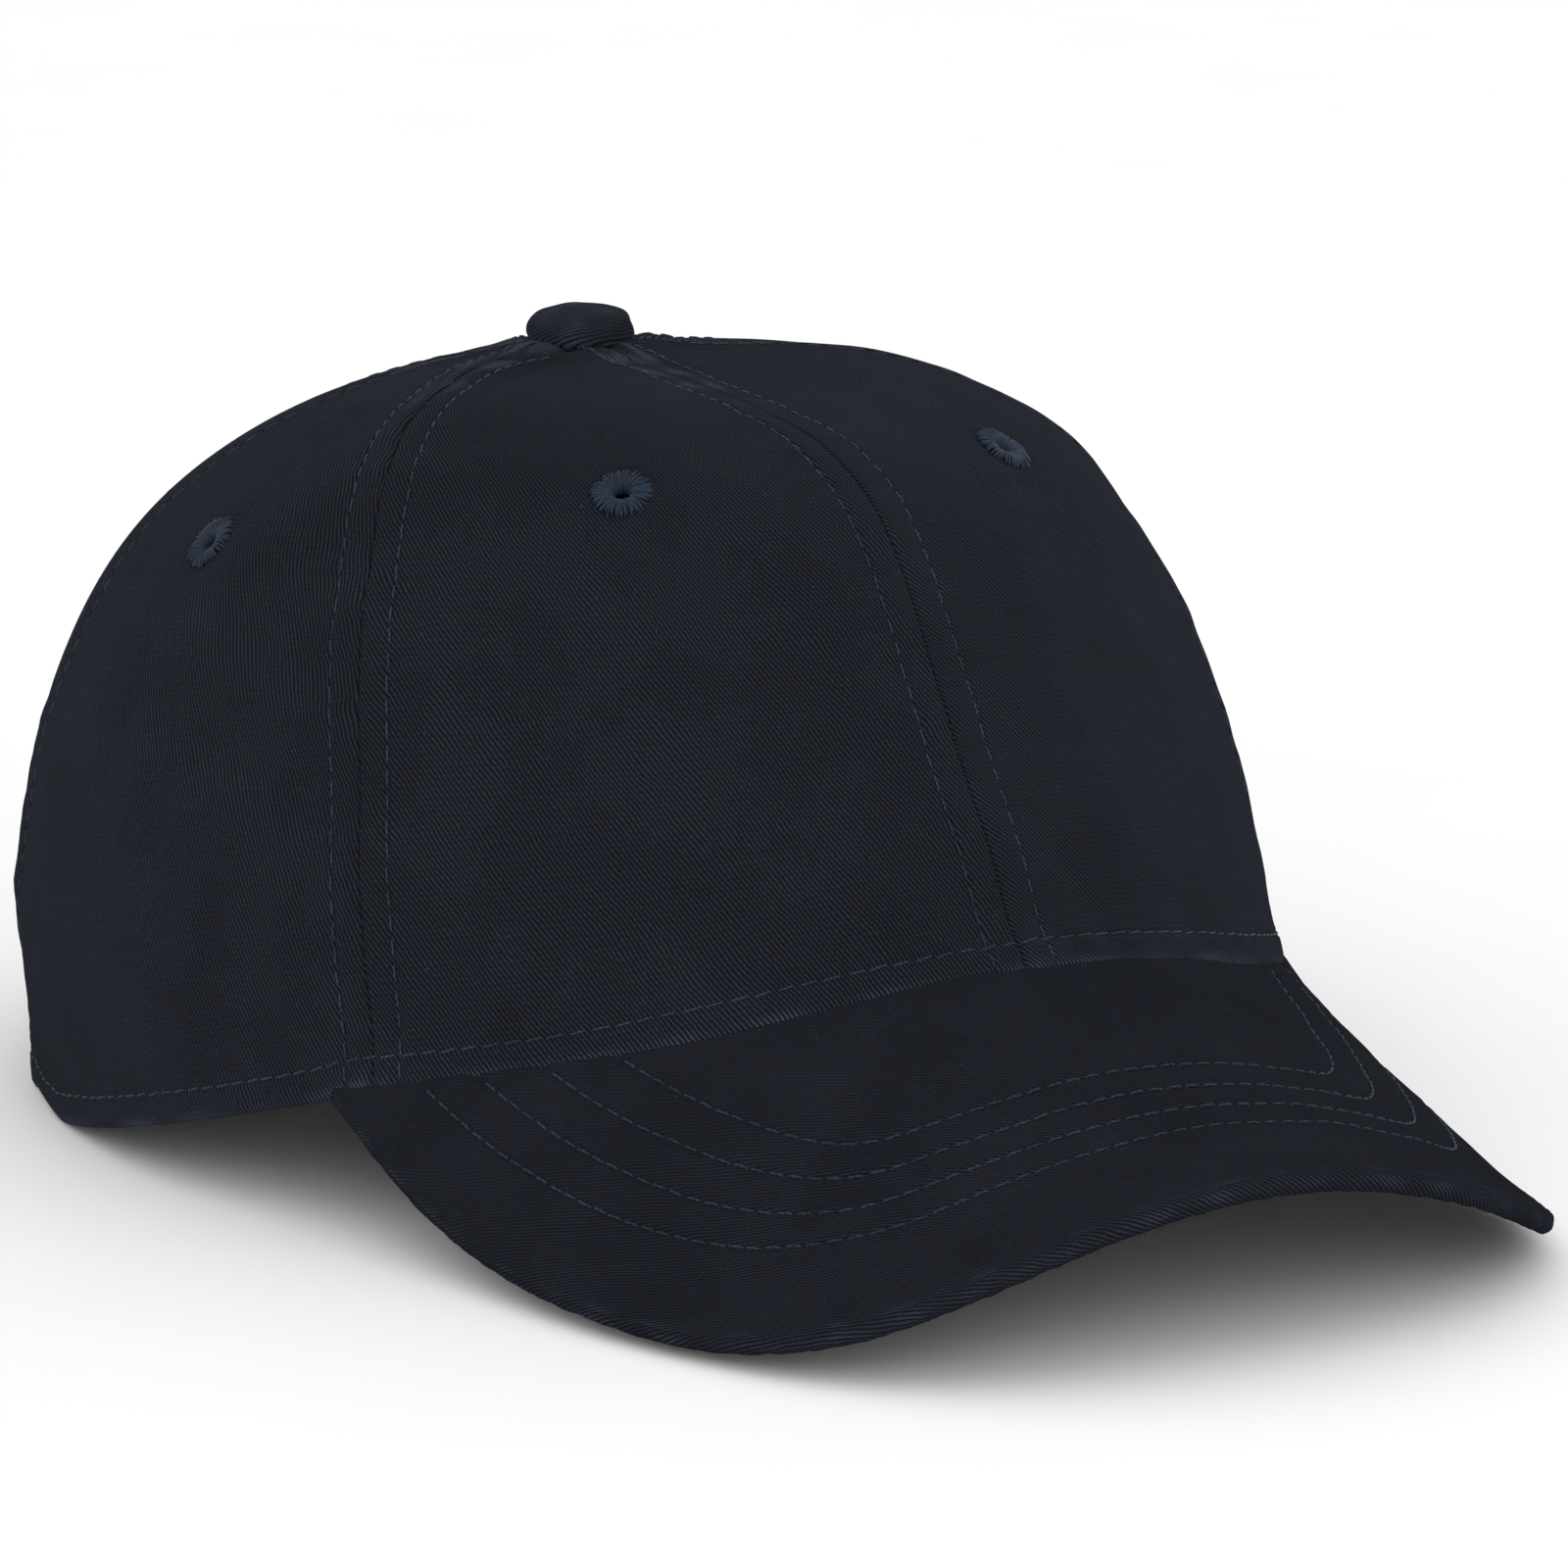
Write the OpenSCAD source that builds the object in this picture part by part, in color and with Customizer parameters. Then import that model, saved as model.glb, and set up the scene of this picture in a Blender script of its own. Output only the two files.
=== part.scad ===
// Six-panel cotton baseball cap with a curved peak, a fabric-covered button,
// embroidered eyelets, and a cloth back strap held by a hinged clip buckle.
// Millimetres. +Z up, the peak points to -Y, the wearer's left is +X.
// The origin is on the table, under the middle of the head opening.

/* [Head opening] */
// half width of the crown's lower edge, ear to ear
rim_ax = 88; // [80:0.5:94]
// half length of the crown's lower edge, front to back
rim_ay = 104; // [96:0.5:112]
// height of the lower edge at the middle of the front, above the table
rim_front_z = 40; // [32:0.5:46]
// angle round from the front at which the peak's corners are sewn in
corner_t = 64.5; // [60:0.1:66]
// angle round from the front at which the lower edge meets the table
rear_t = 106; // [98:1:120]
// how quickly the lower edge comes down between those two angles
rear_drop = 1.2; // [1:0.05:2]

/* [Crown] */
// height of the crown's top above the table
top_z = 109; // [98:0.5:118]
// how far behind the middle the button sits
top_y = 21.5; // [0:0.5:30]
// lean of the wall outwards at the front, side and back
lean_front = -35; // [-40:1:0]
lean_side = 4.5; // [-5:0.5:10]
lean_back = 3; // [-2:0.5:5]
// fullness of the wall at the front, side and back, as a share of the height
full_front = 1.24; // [0.8:0.01:1.3]
full_side = 1.1; // [0.8:0.01:1.2]
full_back = 0.92; // [0.8:0.01:1]
// flatness of the top towards the front, side and back
flat_front = 0.79; // [0.4:0.01:0.85]
flat_side = 0.28; // [0.2:0.01:0.5]
flat_back = 0.12; // [0.1:0.01:0.5]
// thickness of the panel cloth
panel_t = 0.9; // [0.7:0.1:1]
// height of the lower row of stitches above the edge
hem_h = 4.7; // [4:0.1:7]

/* [Seams] */
// angle of the seam between front and side panels at the lower edge
seam_front_t = 59.5; // [56:0.5:62]
// how far that seam swings back half way up, and at the top
seam_front_bow = 6; // [0:0.5:8]
seam_front_swing = 31.8; // [20:0.1:34]
// angle of the seam between side and back panels at the lower edge
seam_rear_t = 120; // [116:1:124]
// how far that seam swings half way up, and at the top
seam_rear_bow = -5; // [-6:0.5:2]
seam_rear_swing = 12; // [6:1:14]
// distance of each row of stitches from its seam
row_gap = 4.75; // [4:0.05:6]
// width of the tape inside each seam
tape_w = 12; // [10:0.5:13]

/* [Peak] */
// downward slope of the peak
peak_slope = 20.8; // [12:0.1:24]
// radius of the peak's arch
peak_r = 81; // [80:0.5:90]
// how much the arch opens out towards its sides
arch_ease = 0.29; // [0.2:0.01:0.32]
// upward sweep of the peak towards its front
peak_curl = 0.002; // [0:0.0005:0.002]
// how far the peak's front corners stand above the plain arch
shoulder = 2.3; // [0:0.1:3]
// how much the sides are raised where they are sewn to the crown
corner_lift = 0.035; // [0:0.005:0.04]
// half width of the flat pattern
pattern_w = 110; // [106:0.5:112]
// length of the peak at its middle, along the cloth
peak_len = 68; // [60:0.5:74]
// where the pattern's corners lie behind the middle of the front
pattern_back = 48.5; // [46:0.5:50]
// squareness of the pattern across and along
square_w = 3.84; // [3:0.02:4.2]
square_l = 1.3; // [1.2:0.02:1.6]
// whole thickness of the peak at its folded edge
peak_t = 3.1; // [2.8:0.1:3.6]
// distance of the outermost row of stitches from the edge, and of the rows from each other
row_first = 21.4; // [16:0.1:24]
row_step = 6.55; // [5:0.05:6.6]

/* [Top button and eyelets] */
button_d = 15.5; // [14:0.1:17]
button_h = 5.8; // [5:0.1:6.5]
// outer and inner diameter of the stitched eyelets
eyelet_d = 9; // [8:0.1:10]
eyelet_hole_d = 2.4; // [2:0.1:3]
// height of the eyelets up the front, side and back panels
eyelet_front_u = 0.49; // [0.45:0.01:0.55]
eyelet_side_u = 0.384; // [0.36:0.002:0.42]
eyelet_back_u = 0.42; // [0.4:0.01:0.45]

/* [Back opening and strap] */
// radius of the arched opening
opening_r = 42; // [38:0.5:44]
strap_w = 18; // [16:0.5:19]
strap_t = 1.4; // [1.2:0.1:1.4]
// half of the angle that the strap covers
strap_half = 49; // [46:1:50]
// where the buckle sits round from the back, towards the wearer's right
buckle_a = 18; // [14:1:18]
// opening angle shown for the buckle's lever
lever_open = 0; // [0:5:100]
// how far the strap is pulled round, in degrees
strap_pull = 0; // [-12:1:12]

/* [Hidden] */
$fn = 48;

cloth = [0.13, 0.14, 0.17];
cloth_under = [0.12, 0.13, 0.155];
thread = [0.24, 0.29, 0.37];
tape_cloth = [0.12, 0.13, 0.16];
band_cloth = [0.14, 0.15, 0.18];
board_white = [0.8, 0.8, 0.78];
metal = [0.62, 0.58, 0.5];

top = [0, top_y, top_z];
// the oval's radius of curvature at the back, which the strap follows
back_r = rim_ax ^ 2 / rim_ay;
back_c = rim_ay - back_r;
strap_z = 3;
strap_out = back_r - panel_t - 0.3;
strap_in = strap_out - strap_t;
strap_mid = (strap_out + strap_in) / 2;
tab_t = 0.8;
tab_w = 16;
tab_out = strap_in - 0.5;
tab_in = tab_out - tab_t;
band_r = tab_in - 0.3;
// how much further in it lies, because the crown leans out above its edge
band_ease = 1.3;
band_t = 0.8;
lift_x = 72;
shoulder_w = 92;
shoulder_spread = 21;
band_h = 32;
thread_r = 0.2;
thread_lift = 0.5;
seam_clear = 0.06;
cover_t = 0.6;
ply_clear = 0.1;
pin_r = 1;
pin_clear = 0.05;
pin_x = 8;
pin_y = 3;
knuckle_r = 1.9;
frame_l = 22;
plate_t = 0.8;
plate_y = -3.8;
lug_t = 1.3;
side_clear = 0.4;
columns = 12;
rows = 18;

function unit(v) = v / norm(v);
function deg(rad) = rad * 180 / PI;
function smooth(a, b, x) = let(s = min(1, max(0, (x - a) / (b - a)))) s * s * (3 - 2 * s);
// a value that is front, side or back at those three places and blends between them
function around(front, side, back, t) =
    side + (front - back) / 2 * cos(t) + ((front + back) / 2 - side) * cos(t) ^ 2;

// --- peak surface: w runs across the flat pattern, s forwards from the crown's front ---
function arch(x) = (peak_r - sqrt(peak_r ^ 2 - x ^ 2)) * (1 - arch_ease * (x / 80) ^ 2);
function peak_z(x, s) = rim_front_z - s * sin(peak_slope) - arch(x) * cos(peak_slope)
    + peak_curl * s ^ 2 + corner_lift * max(0, abs(x) - lift_x) ^ 2 * (1 - smooth(-40, -5, s));
// 1 at the middle of a front corner, 0 well away from it
function at_shoulder(w, s) =
    exp(-((abs(w) - shoulder_w) / shoulder_spread) ^ 2) * min(1, max(0, (s + 28) / 45));
function peak_s(x, y) = (arch(x) * sin(peak_slope) - rim_ay - y) / cos(peak_slope);
function peak_pt(w, s) = let(x = peak_r * sin(deg(w / peak_r)), k = shoulder * at_shoulder(w, s))
    [x + sign(w) * 0.4 * k, arch(x) * sin(peak_slope) - rim_ay - s * cos(peak_slope),
        peak_z(x, s) + k];
function peak_n(w, s) =
    unit(cross(peak_pt(w + 1, s) - peak_pt(w - 1, s), peak_pt(w, s - 1) - peak_pt(w, s + 1)));
function peak_in(q, depth) = peak_pt(q.x, q.y) - peak_n(q.x, q.y) * depth;
// outline of the flat pattern, f from 0 at one corner to 180 at the other
function outline(f) = [-pattern_w * cos(f),
    (peak_len + pattern_back) * (1 - abs(cos(f)) ^ square_w) ^ (1 / square_l) - pattern_back];
function outline_in(f, d) = let(v = unit(outline(f + 0.5) - outline(f - 0.5)))
    outline(f) + [v.y, -v.x] * d;
// the crown's lower edge laid into the flat pattern, a little outside the cloth
function flat_rim(t) = let(x = (rim_ax + 0.15) * sin(t), y = -(rim_ay + 0.15) * cos(t))
    [peak_r * asin(x / peak_r) * PI / 180, peak_s(x, y)];

// --- crown surface: t runs round from the front towards +X, u from the edge to the top ---
function edge_z(t) = peak_z(rim_ax * sin(t), peak_s(rim_ax * sin(t), -rim_ay * cos(t)));
function rim_z(t) = let(a = min(abs(t), 360 - abs(t))) a <= corner_t ? edge_z(a)
    : edge_z(corner_t) * (max(0, rear_t - a) / (rear_t - corner_t)) ^ rear_drop;
function rim(t) = [rim_ax * sin(t), -rim_ay * cos(t), rim_z(t)];
function crown(t, u) = let(
    b = rim(t),
    h = top - b,
    run = norm([h.x, h.y]),
    out = -[h.x, h.y, 0] / run,
    lean = around(lean_front, lean_side, lean_back, t),
    rise = around(full_front, full_side, full_back, t) * h.z,
    reach = around(flat_front, flat_side, flat_back, t) * run,
    low = b + out * (sin(lean) * rise) + [0, 0, cos(lean) * rise],
    high = top + out * reach,
    v = 1 - u)
    b * v ^ 3 + low * (3 * v * v * u) + high * (3 * v * u * u) + top * u ^ 3;
function crown_n(t, u) =
    unit(cross(crown(t + 0.5, u) - crown(t - 0.5, u), crown(t, u + 0.002) - crown(t, u - 0.002)));
// the point a depth below the cloth's outer face
function inside(t, u, depth) = crown(t, u) - crown_n(t, u) * depth;
// millimetres to the degree, measured round the crown
function per_degree(t, u) = norm(crown(t + 0.5, u) - crown(t - 0.5, u));
// the share of the way up at which the cloth has risen h from its edge
function up(t, h) =
    let(k = h / (3 * around(full_front, full_side, full_back, t) * (top_z - rim_z(t)))) k + k * k;
// the share of the way up at which the cloth is r from the button's middle
function near_top(t, r, u = 1) = let(d = crown(t, u) - top)
    norm([d.x, d.y]) >= r ? u : near_top(t, r, u - 0.004);
// the six seams, counted from -3 at the back round by the wearer's right
function seam(k, u) = abs(k) == 3 ? 60 * k : abs(k) == 0 ? 0 : sign(k) * (abs(k) == 1
    ? seam_front_t + seam_front_bow * 4 * u * (1 - u) + seam_front_swing * u ^ 3
    : seam_rear_t + seam_rear_bow * 4 * u * (1 - u) + seam_rear_swing * u ^ 3);

// --- closed skins ---
// Joins sections of the same number of points and closes both ends.
module loft(sections) {
    m = len(sections);
    n = len(sections[0]);
    e = (m - 1) * n;
    // both faces of a skin are cut along the same diagonals, so its thickness stays even
    sides = [for (j = [0:m - 2], i = [0:n - 1]) let(
        k = (i + 1) % n,
        a = j * n + i,
        b = j * n + k,
        c = (j + 1) * n + k,
        d = (j + 1) * n + i)
        each i < n / 2 ? [[a, b, c], [a, c, d]] : [[a, b, d], [b, c, d]]];
    first = [for (i = [0:n / 2 - 2])
        each [[i + 1, i, n - 1 - i], [i + 1, n - 1 - i, n - 2 - i]]];
    last = [for (i = [0:n / 2 - 2])
        each [[e + i, e + i + 1, e + n - 1 - i], [e + i + 1, e + n - 2 - i, e + n - 1 - i]]];
    polyhedron([for (s = sections) each s], concat(sides, first, last), convexity = 8);
}

// A thread of square section along points, each given as [centre, normal].
module thread_along(path) {
    m = len(path);
    loft([for (i = [0:m - 1]) let(
        c = path[i][0],
        n = path[i][1],
        ahead = unit(path[min(i + 1, m - 1)][0] - path[max(i - 1, 0)][0]),
        side = cross(ahead, n) * thread_r)
        [c + side, c + n * thread_r, c - side, c - n * thread_r]]);
}

// --- crown pieces ---
module panel(k, eyelet_u) {
    t_mid = (seam(k, eyelet_u) + seam(k + 1, eyelet_u)) / 2;
    difference() {
        loft([for (j = [0:columns]) let(
            f = j / columns,
            // the clearance to each seam shrinks with the radius towards the top
            side = j == 0 ? 1 : j == columns ? -1 : 0,
            t_top = seam(k, 1) * (1 - f) + seam(k + 1, 1) * f,
            u_end = near_top(t_top, 3.2))
            [for (i = [0:2 * rows + 1]) let(
                row = i <= rows ? i : 2 * rows + 1 - i,
                u = up(t_top, 0.2) + (u_end - up(t_top, 0.2)) * row / rows,
                t0 = seam(k, u) * (1 - f) + seam(k + 1, u) * f,
                t = t0 + side * seam_clear / per_degree(t0, u))
                inside(t, u, i <= rows ? 0 : panel_t)]]);
        on_crown(t_mid, eyelet_u)
            cylinder(h = 8, r = eyelet_d / 2 + 0.15, center = true);
        if (abs(k + 0.5) > 2)
            opening_tool(opening_r, 1);
    }
}

// Places its child on the crown with +Z along the outward normal.
module on_crown(t, u) {
    n = crown_n(t, u);
    translate(crown(t, u))
        rotate([0, acos(n.z), atan2(n.y, n.x)])
            children();
}

module opening_tool(r, grow) {
    translate([0, back_c, 0])
        rotate([-90, 0, 0])
            cylinder(h = back_r + 20 * grow, r = r);
}

module eyelet(k, u) {
    color(thread)
        on_crown((seam(k, u) + seam(k + 1, u)) / 2, u)
            translate([0, 0, -panel_t - 0.4])
                difference() {
                    cylinder(h = panel_t + 0.8, r = eyelet_d / 2);
                    translate([0, 0, -1])
                        cylinder(h = panel_t + 3, r = eyelet_hole_d / 2);
                }
}

// A strip of tape on the inside of seam k, from h above the edge.
module tape(k, h) {
    u0 = up(seam(k, 0), h);
    u1 = near_top(seam(k, 0.9), 14.5);
    color(tape_cloth)
        loft([for (j = [-2:2])
            [for (i = [0:2 * rows + 1]) let(
                row = i <= rows ? i : 2 * rows + 1 - i,
                u = u0 + (u1 - u0) * row / rows,
                t0 = seam(k, u),
                t = t0 + j / 4 * tape_w / per_degree(t0, u))
                inside(t, u, i <= rows ? panel_t + 0.45 : panel_t + 0.9)]]);
}

// The two rows of stitches that run beside seam k.
module seam_stitch(k, h) {
    u0 = up(seam(k, 0), h);
    u1 = near_top(seam(k, 0.9), 11);
    color(thread)
        for (side = [-1, 1])
            thread_along([for (i = [0:22]) let(
                u = u0 + (u1 - u0) * i / 22,
                t0 = seam(k, u),
                t = t0 + side * row_gap / per_degree(t0, u))
                [inside(t, u, -thread_lift), crown_n(t, u)]]);
}

module hem_stitch() {
    color(thread)
        thread_along([for (t = [-148:4:148]) let(u = up(t, hem_h))
            [inside(t, u, -thread_lift), crown_n(t, u)]]);
}

// how far the sweatband stands in from the cloth's outer face
function band_depth(t) = let(
    b = rim(t),
    free = norm([b.x, b.y - back_c]) - band_r + band_ease,
    near = panel_t + 1.4)
    near + (free - near) * smooth(98, 129, abs(t));

module sweatband() {
    lift = 1;
    steps = 5;
    color(band_cloth)
        loft([for (t = [-147:6:147])
            [for (i = [0:2 * steps + 1]) let(
                row = i <= steps ? i : 2 * steps + 1 - i,
                u = up(t, lift + (band_h - lift) * row / steps))
                inside(t, u, band_depth(t) + (i <= steps ? 0 : band_t))]]);
}

module opening_binding() {
    low = 22;
    high = 54;
    steps = 6;
    color(tape_cloth)
        intersection() {
            loft([for (t = [146:4:214])
                [for (i = [0:2 * steps + 1]) let(
                    row = i <= steps ? i : 2 * steps + 1 - i,
                    u = up(t, low + (high - low) * row / steps))
                    inside(t, u, panel_t + (i <= steps ? 0.4 : 0.9))]]);
            difference() {
                opening_tool(opening_r + 7, 1);
                opening_tool(opening_r + 0.4, 2);
            }
            translate([-80, back_c, strap_z + strap_w + 2.5])
                cube([160, 160, 60]);
        }
}

// --- top button ---
// half section of a flattened dome with rounded shoulders
function dome(r, h) = [for (a = [0:7.5:90]) [r * cos(a) ^ 0.8, h * sin(a) ^ 0.8]];

module button_cover() {
    color(cloth)
        translate(top + [0, 0, 0.15])
            difference() {
                rotate_extrude()
                    polygon(concat([[0, 0]], dome(button_d / 2, button_h)));
                translate([0, 0, -0.01])
                    rotate_extrude()
                        polygon(concat([[0, 0]], dome(button_d / 2 - cover_t, button_h - cover_t)));
            }
}

module button_shell() {
    color(metal)
        translate(top + [0, 0, 0.2])
            difference() {
                rotate_extrude()
                    polygon(concat([[0, 0]],
                        dome(button_d / 2 - cover_t - ply_clear, button_h - cover_t - 2 * ply_clear)));
                translate([0, 0, -1])
                    cylinder(h = 4.4, r = 1.5);
            }
}

module button_rivet() {
    color(metal)
        translate(top) {
            translate([0, 0, -4.1])
                cylinder(h = 1, r = 6);
            translate([0, 0, -3.6])
                cylinder(h = 6.8, r = 1.4);
        }
}

// --- peak ---
// Columns of the peak: the crown end of each one and its outer end.
peak_cols = 44;
function peak_f(j) = 7 + 166 * j / peak_cols;
function peak_t0(j) = -(corner_t - 1.9) * cos(180 * (j / peak_cols) * 0.6 + 36) / cos(36);
function across(a, b, v) = a * (1 - v) + b * v;

// The upper cloth goes round the board's edge to the underside.
module peak_top_cover() {
    steps = 6;
    r = peak_t / 2;
    rb = r - cover_t;
    color(cloth)
        loft([for (j = [0:peak_cols]) let(
            f = peak_f(j),
            a = flat_rim(peak_t0(j)),
            b = outline_in(f, r))
            concat(
                [for (i = [0:steps]) peak_in(across(a, b, i / steps), cover_t)],
                [for (c = [60:-30:-90]) peak_in(outline_in(f, r - rb * cos(c)), r - rb * sin(c))],
                [for (c = [-90:30:60]) peak_in(outline_in(f, r - r * cos(c)), r - r * sin(c))],
                [for (i = [0:steps]) peak_in(across(b, a, i / steps), 0)])]);
}

// The board and the lower cloth lie flat inside the fold.
module flat_ply(z0, z1, inset) {
    steps = 6;
    loft([for (j = [0:peak_cols]) let(
        a = flat_rim(peak_t0(j)),
        b = outline_in(peak_f(j), inset))
        concat(
            [for (i = [0:steps]) peak_in(across(a, b, i / steps), z1)],
            [for (i = [0:steps]) peak_in(across(b, a, i / steps), z0)])]);
}

module peak_board() {
    color(board_white)
        flat_ply(cover_t + ply_clear, peak_t - cover_t - ply_clear, peak_t / 2);
}

module peak_under_cover() {
    color(cloth_under)
        flat_ply(peak_t - cover_t, peak_t, peak_t / 2 + 0.3);
}

// Row k of stitches on the peak, counted from its edge; it stops at the crown.
module peak_stitch(k) {
    d = row_first + row_step * (k - 1);
    spots = [for (f = [3:3:177]) let(q = outline_in(f, d), p = peak_pt(q.x, q.y))
        if (((p.x / (rim_ax + 1)) ^ 2 + (p.y / (rim_ay + 1)) ^ 2 > 1) && p.y < 0) q];
    color(thread)
        thread_along([for (q = spots) [peak_in(q, -thread_lift), peak_n(q.x, q.y)]]);
}

// --- back strap and clip buckle ---
// A slab bent round the back's centre, between two radii, two heights and two
// angles measured from the back towards the wearer's right.
module bent(r0, r1, z0, z1, a0, a1) {
    translate([0, back_c, 0])
        rotate([0, 0, 90 + a0])
            rotate_extrude(angle = a1 - a0)
                translate([r0, z0])
                    square([r1 - r0, z1 - z0]);
}

module back_strap() {
    color(cloth)
        translate([0, back_c, 0])
            rotate([0, 0, strap_pull])
                translate([0, -back_c, 0])
                    bent(strap_in, strap_out, strap_z, strap_z + strap_w, -strap_half, strap_half);
}

// Places its child at the buckle: +Y out of the cap, -X towards the wearer's right.
module at_buckle() {
    translate([0, back_c, 0])
        rotate([0, 0, buckle_a])
            translate([0, strap_mid, 0])
                children();
}

bar_w = 2.4;
slot_w = 2;
// the angle that a length x along the buckle takes up
function buckle_deg(x) = atan(x / (strap_mid + plate_y));

module buckle_tab() {
    z0 = strap_z + (strap_w - tab_w) / 2;
    z1 = z0 + tab_w;
    bar_a = buckle_a + buckle_deg(frame_l / 2 - bar_w);
    low_out = strap_mid + plate_y - 0.3;
    low_in = low_out - tab_t;
    color(cloth) {
        union() {
            bent(tab_in, tab_out, z0, z1, bar_a - 0.9, 45);
            bent(low_in, low_out, z0, z1, bar_a - 0.9, buckle_a + 13);
            bent(low_in, tab_out, z0, z1, bar_a - 0.9, bar_a - 0.2);
            bent(low_in, tab_out, z0, z1, buckle_a + 9.8, buckle_a + 13);
        }
    }
}

module buckle_frame() {
    z0 = strap_z - side_clear - lug_t;
    z1 = strap_z + strap_w + side_clear + lug_t;
    color(metal)
        at_buckle()
            difference() {
                union() {
                    translate([-frame_l / 2, plate_y, z0])
                        cube([frame_l, plate_t, z1 - z0]);
                    for (z = [z0, z1 - lug_t]) {
                        translate([pin_x - 3, plate_y, z])
                            cube([6, pin_y - plate_y, lug_t]);
                        translate([pin_x, pin_y, z])
                            cylinder(h = lug_t, r = 3);
                        translate([-frame_l / 2, plate_y, z])
                            cube([frame_l, 3, lug_t]);
                    }
                }
                translate([-frame_l / 2 + bar_w, plate_y - 1, strap_z])
                    cube([slot_w, 3, strap_w]);
                translate([pin_x, pin_y, z0 - 1])
                    cylinder(h = z1 - z0 + 2, r = pin_r + 0.02);
            }
}

module buckle_pin() {
    z0 = strap_z - side_clear - lug_t;
    z1 = strap_z + strap_w + side_clear + lug_t;
    color(metal)
        at_buckle()
            translate([pin_x, pin_y, z0])
                cylinder(h = z1 - z0, r = pin_r);
}

module buckle_lever() {
    lever_l = 17.5;
    z0 = strap_z;
    color(metal)
        at_buckle()
            translate([pin_x, pin_y, 0])
                rotate([0, 0, -lever_open])
                    difference() {
                        union() {
                            translate([0, 0, z0])
                                cylinder(h = strap_w, r = knuckle_r);
                            translate([-lever_l, -0.1, z0])
                                cube([lever_l, 1, strap_w]);
                            translate([-lever_l, 0.4, z0])
                                cylinder(h = strap_w, r = 0.9);
                        }
                        translate([0, 0, z0 - 1])
                            cylinder(h = strap_w + 2, r = pin_r + pin_clear);
                    }
}

color(cloth) panel(0, eyelet_front_u);  // panel_front_l
color(cloth) panel(-1, eyelet_front_u);  // panel_front_r
color(cloth) panel(1, eyelet_side_u);  // panel_side_l
color(cloth) panel(-2, eyelet_side_u);  // panel_side_r
color(cloth) panel(2, eyelet_back_u);  // panel_back_l
color(cloth) panel(-3, eyelet_back_u);  // panel_back_r
eyelet(0, eyelet_front_u);  // eyelet_front_l
eyelet(-1, eyelet_front_u);  // eyelet_front_r
eyelet(1, eyelet_side_u);  // eyelet_side_l
eyelet(-2, eyelet_side_u);  // eyelet_side_r
eyelet(2, eyelet_back_u);  // eyelet_back_l
eyelet(-3, eyelet_back_u);  // eyelet_back_r
tape(0, 1.5);  // tape_front
tape(1, 1.5);  // tape_side_l
tape(-1, 1.5);  // tape_side_r
tape(2, 1.5);  // tape_rear_l
tape(-2, 1.5);  // tape_rear_r
tape(3, opening_r + 10.5);  // tape_back
button_cover();
button_shell();
button_rivet();
peak_top_cover();
peak_board();
peak_under_cover();
sweatband();
opening_binding();
peak_stitch(1);  // peak_stitch_1
peak_stitch(2);  // peak_stitch_2
peak_stitch(3);  // peak_stitch_3
peak_stitch(4);  // peak_stitch_4
hem_stitch();
seam_stitch(0, 5.5);  // seam_stitch_front
seam_stitch(1, 5.5);  // seam_stitch_side_l
seam_stitch(-1, 5.5);  // seam_stitch_side_r
seam_stitch(2, 5.5);  // seam_stitch_rear_l
seam_stitch(-2, 5.5);  // seam_stitch_rear_r
seam_stitch(3, opening_r + 8);  // seam_stitch_back
back_strap();
buckle_tab();
buckle_frame();
buckle_pin();
buckle_lever();
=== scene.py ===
# A six-panel twill baseball cap: cloth, stitches, peak, button, back strap and clip buckle.
import math

import bpy
import numpy as np
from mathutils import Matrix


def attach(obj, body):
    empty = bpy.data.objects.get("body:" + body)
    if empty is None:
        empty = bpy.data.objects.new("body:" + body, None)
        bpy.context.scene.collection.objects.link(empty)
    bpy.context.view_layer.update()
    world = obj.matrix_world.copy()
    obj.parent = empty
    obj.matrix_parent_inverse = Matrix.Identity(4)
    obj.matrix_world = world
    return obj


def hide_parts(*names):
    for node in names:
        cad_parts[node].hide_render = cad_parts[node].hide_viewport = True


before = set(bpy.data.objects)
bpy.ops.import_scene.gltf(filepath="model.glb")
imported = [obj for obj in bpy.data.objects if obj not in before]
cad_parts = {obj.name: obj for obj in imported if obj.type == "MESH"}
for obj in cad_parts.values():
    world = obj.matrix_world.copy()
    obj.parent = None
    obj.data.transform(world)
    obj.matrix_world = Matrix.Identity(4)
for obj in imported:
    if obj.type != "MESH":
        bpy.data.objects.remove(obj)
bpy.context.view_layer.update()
mm = 0.001

# the cap's own measures in millimetres, degrees and shares; front, side and back where there are three
cap = {
    "rimAcross": 88.0, "rimAlong": 104.0, "rimFront": 40.0,
    "cornerAngle": 64.5, "rearAngle": 106.0, "rearDrop": 1.2,
    "topHeight": 109.0, "topBack": 21.5, "lean": (-35.0, 4.5, 3.0),
    "fullness": (1.24, 1.1, 0.92), "flatness": (0.79, 0.28, 0.12),
    "frontSeam": (59.5, 6.0, 31.8), "rearSeam": (120.0, -5.0, 12.0),
    "rowGap": 4.75, "hemHeight": 4.7, "clothThickness": 0.9, "bandTop": 33.0,
    "openingRadius": 42.0,
}
peakShape = {
    "slope": 20.8, "archRadius": 81.0, "archEase": 0.29, "curl": 0.002, "halfWidth": 110.0,
    "length": 68.0, "cornerBack": 48.5, "squareAcross": 3.84, "squareAlong": 1.3,
    "thickness": 3.1, "firstRow": 21.4, "rowStep": 6.55, "rows": 4,
    "shoulder": 2.3, "shoulderAt": (92.0, 21.0), "cornerLift": 0.035, "liftFrom": 72.0,
}


def ease(a, b, x):  # 0 before a, 1 after b, smooth between
    s = np.clip((x - a) / (b - a), 0, 1)
    return s * s * (3 - 2 * s)


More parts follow.
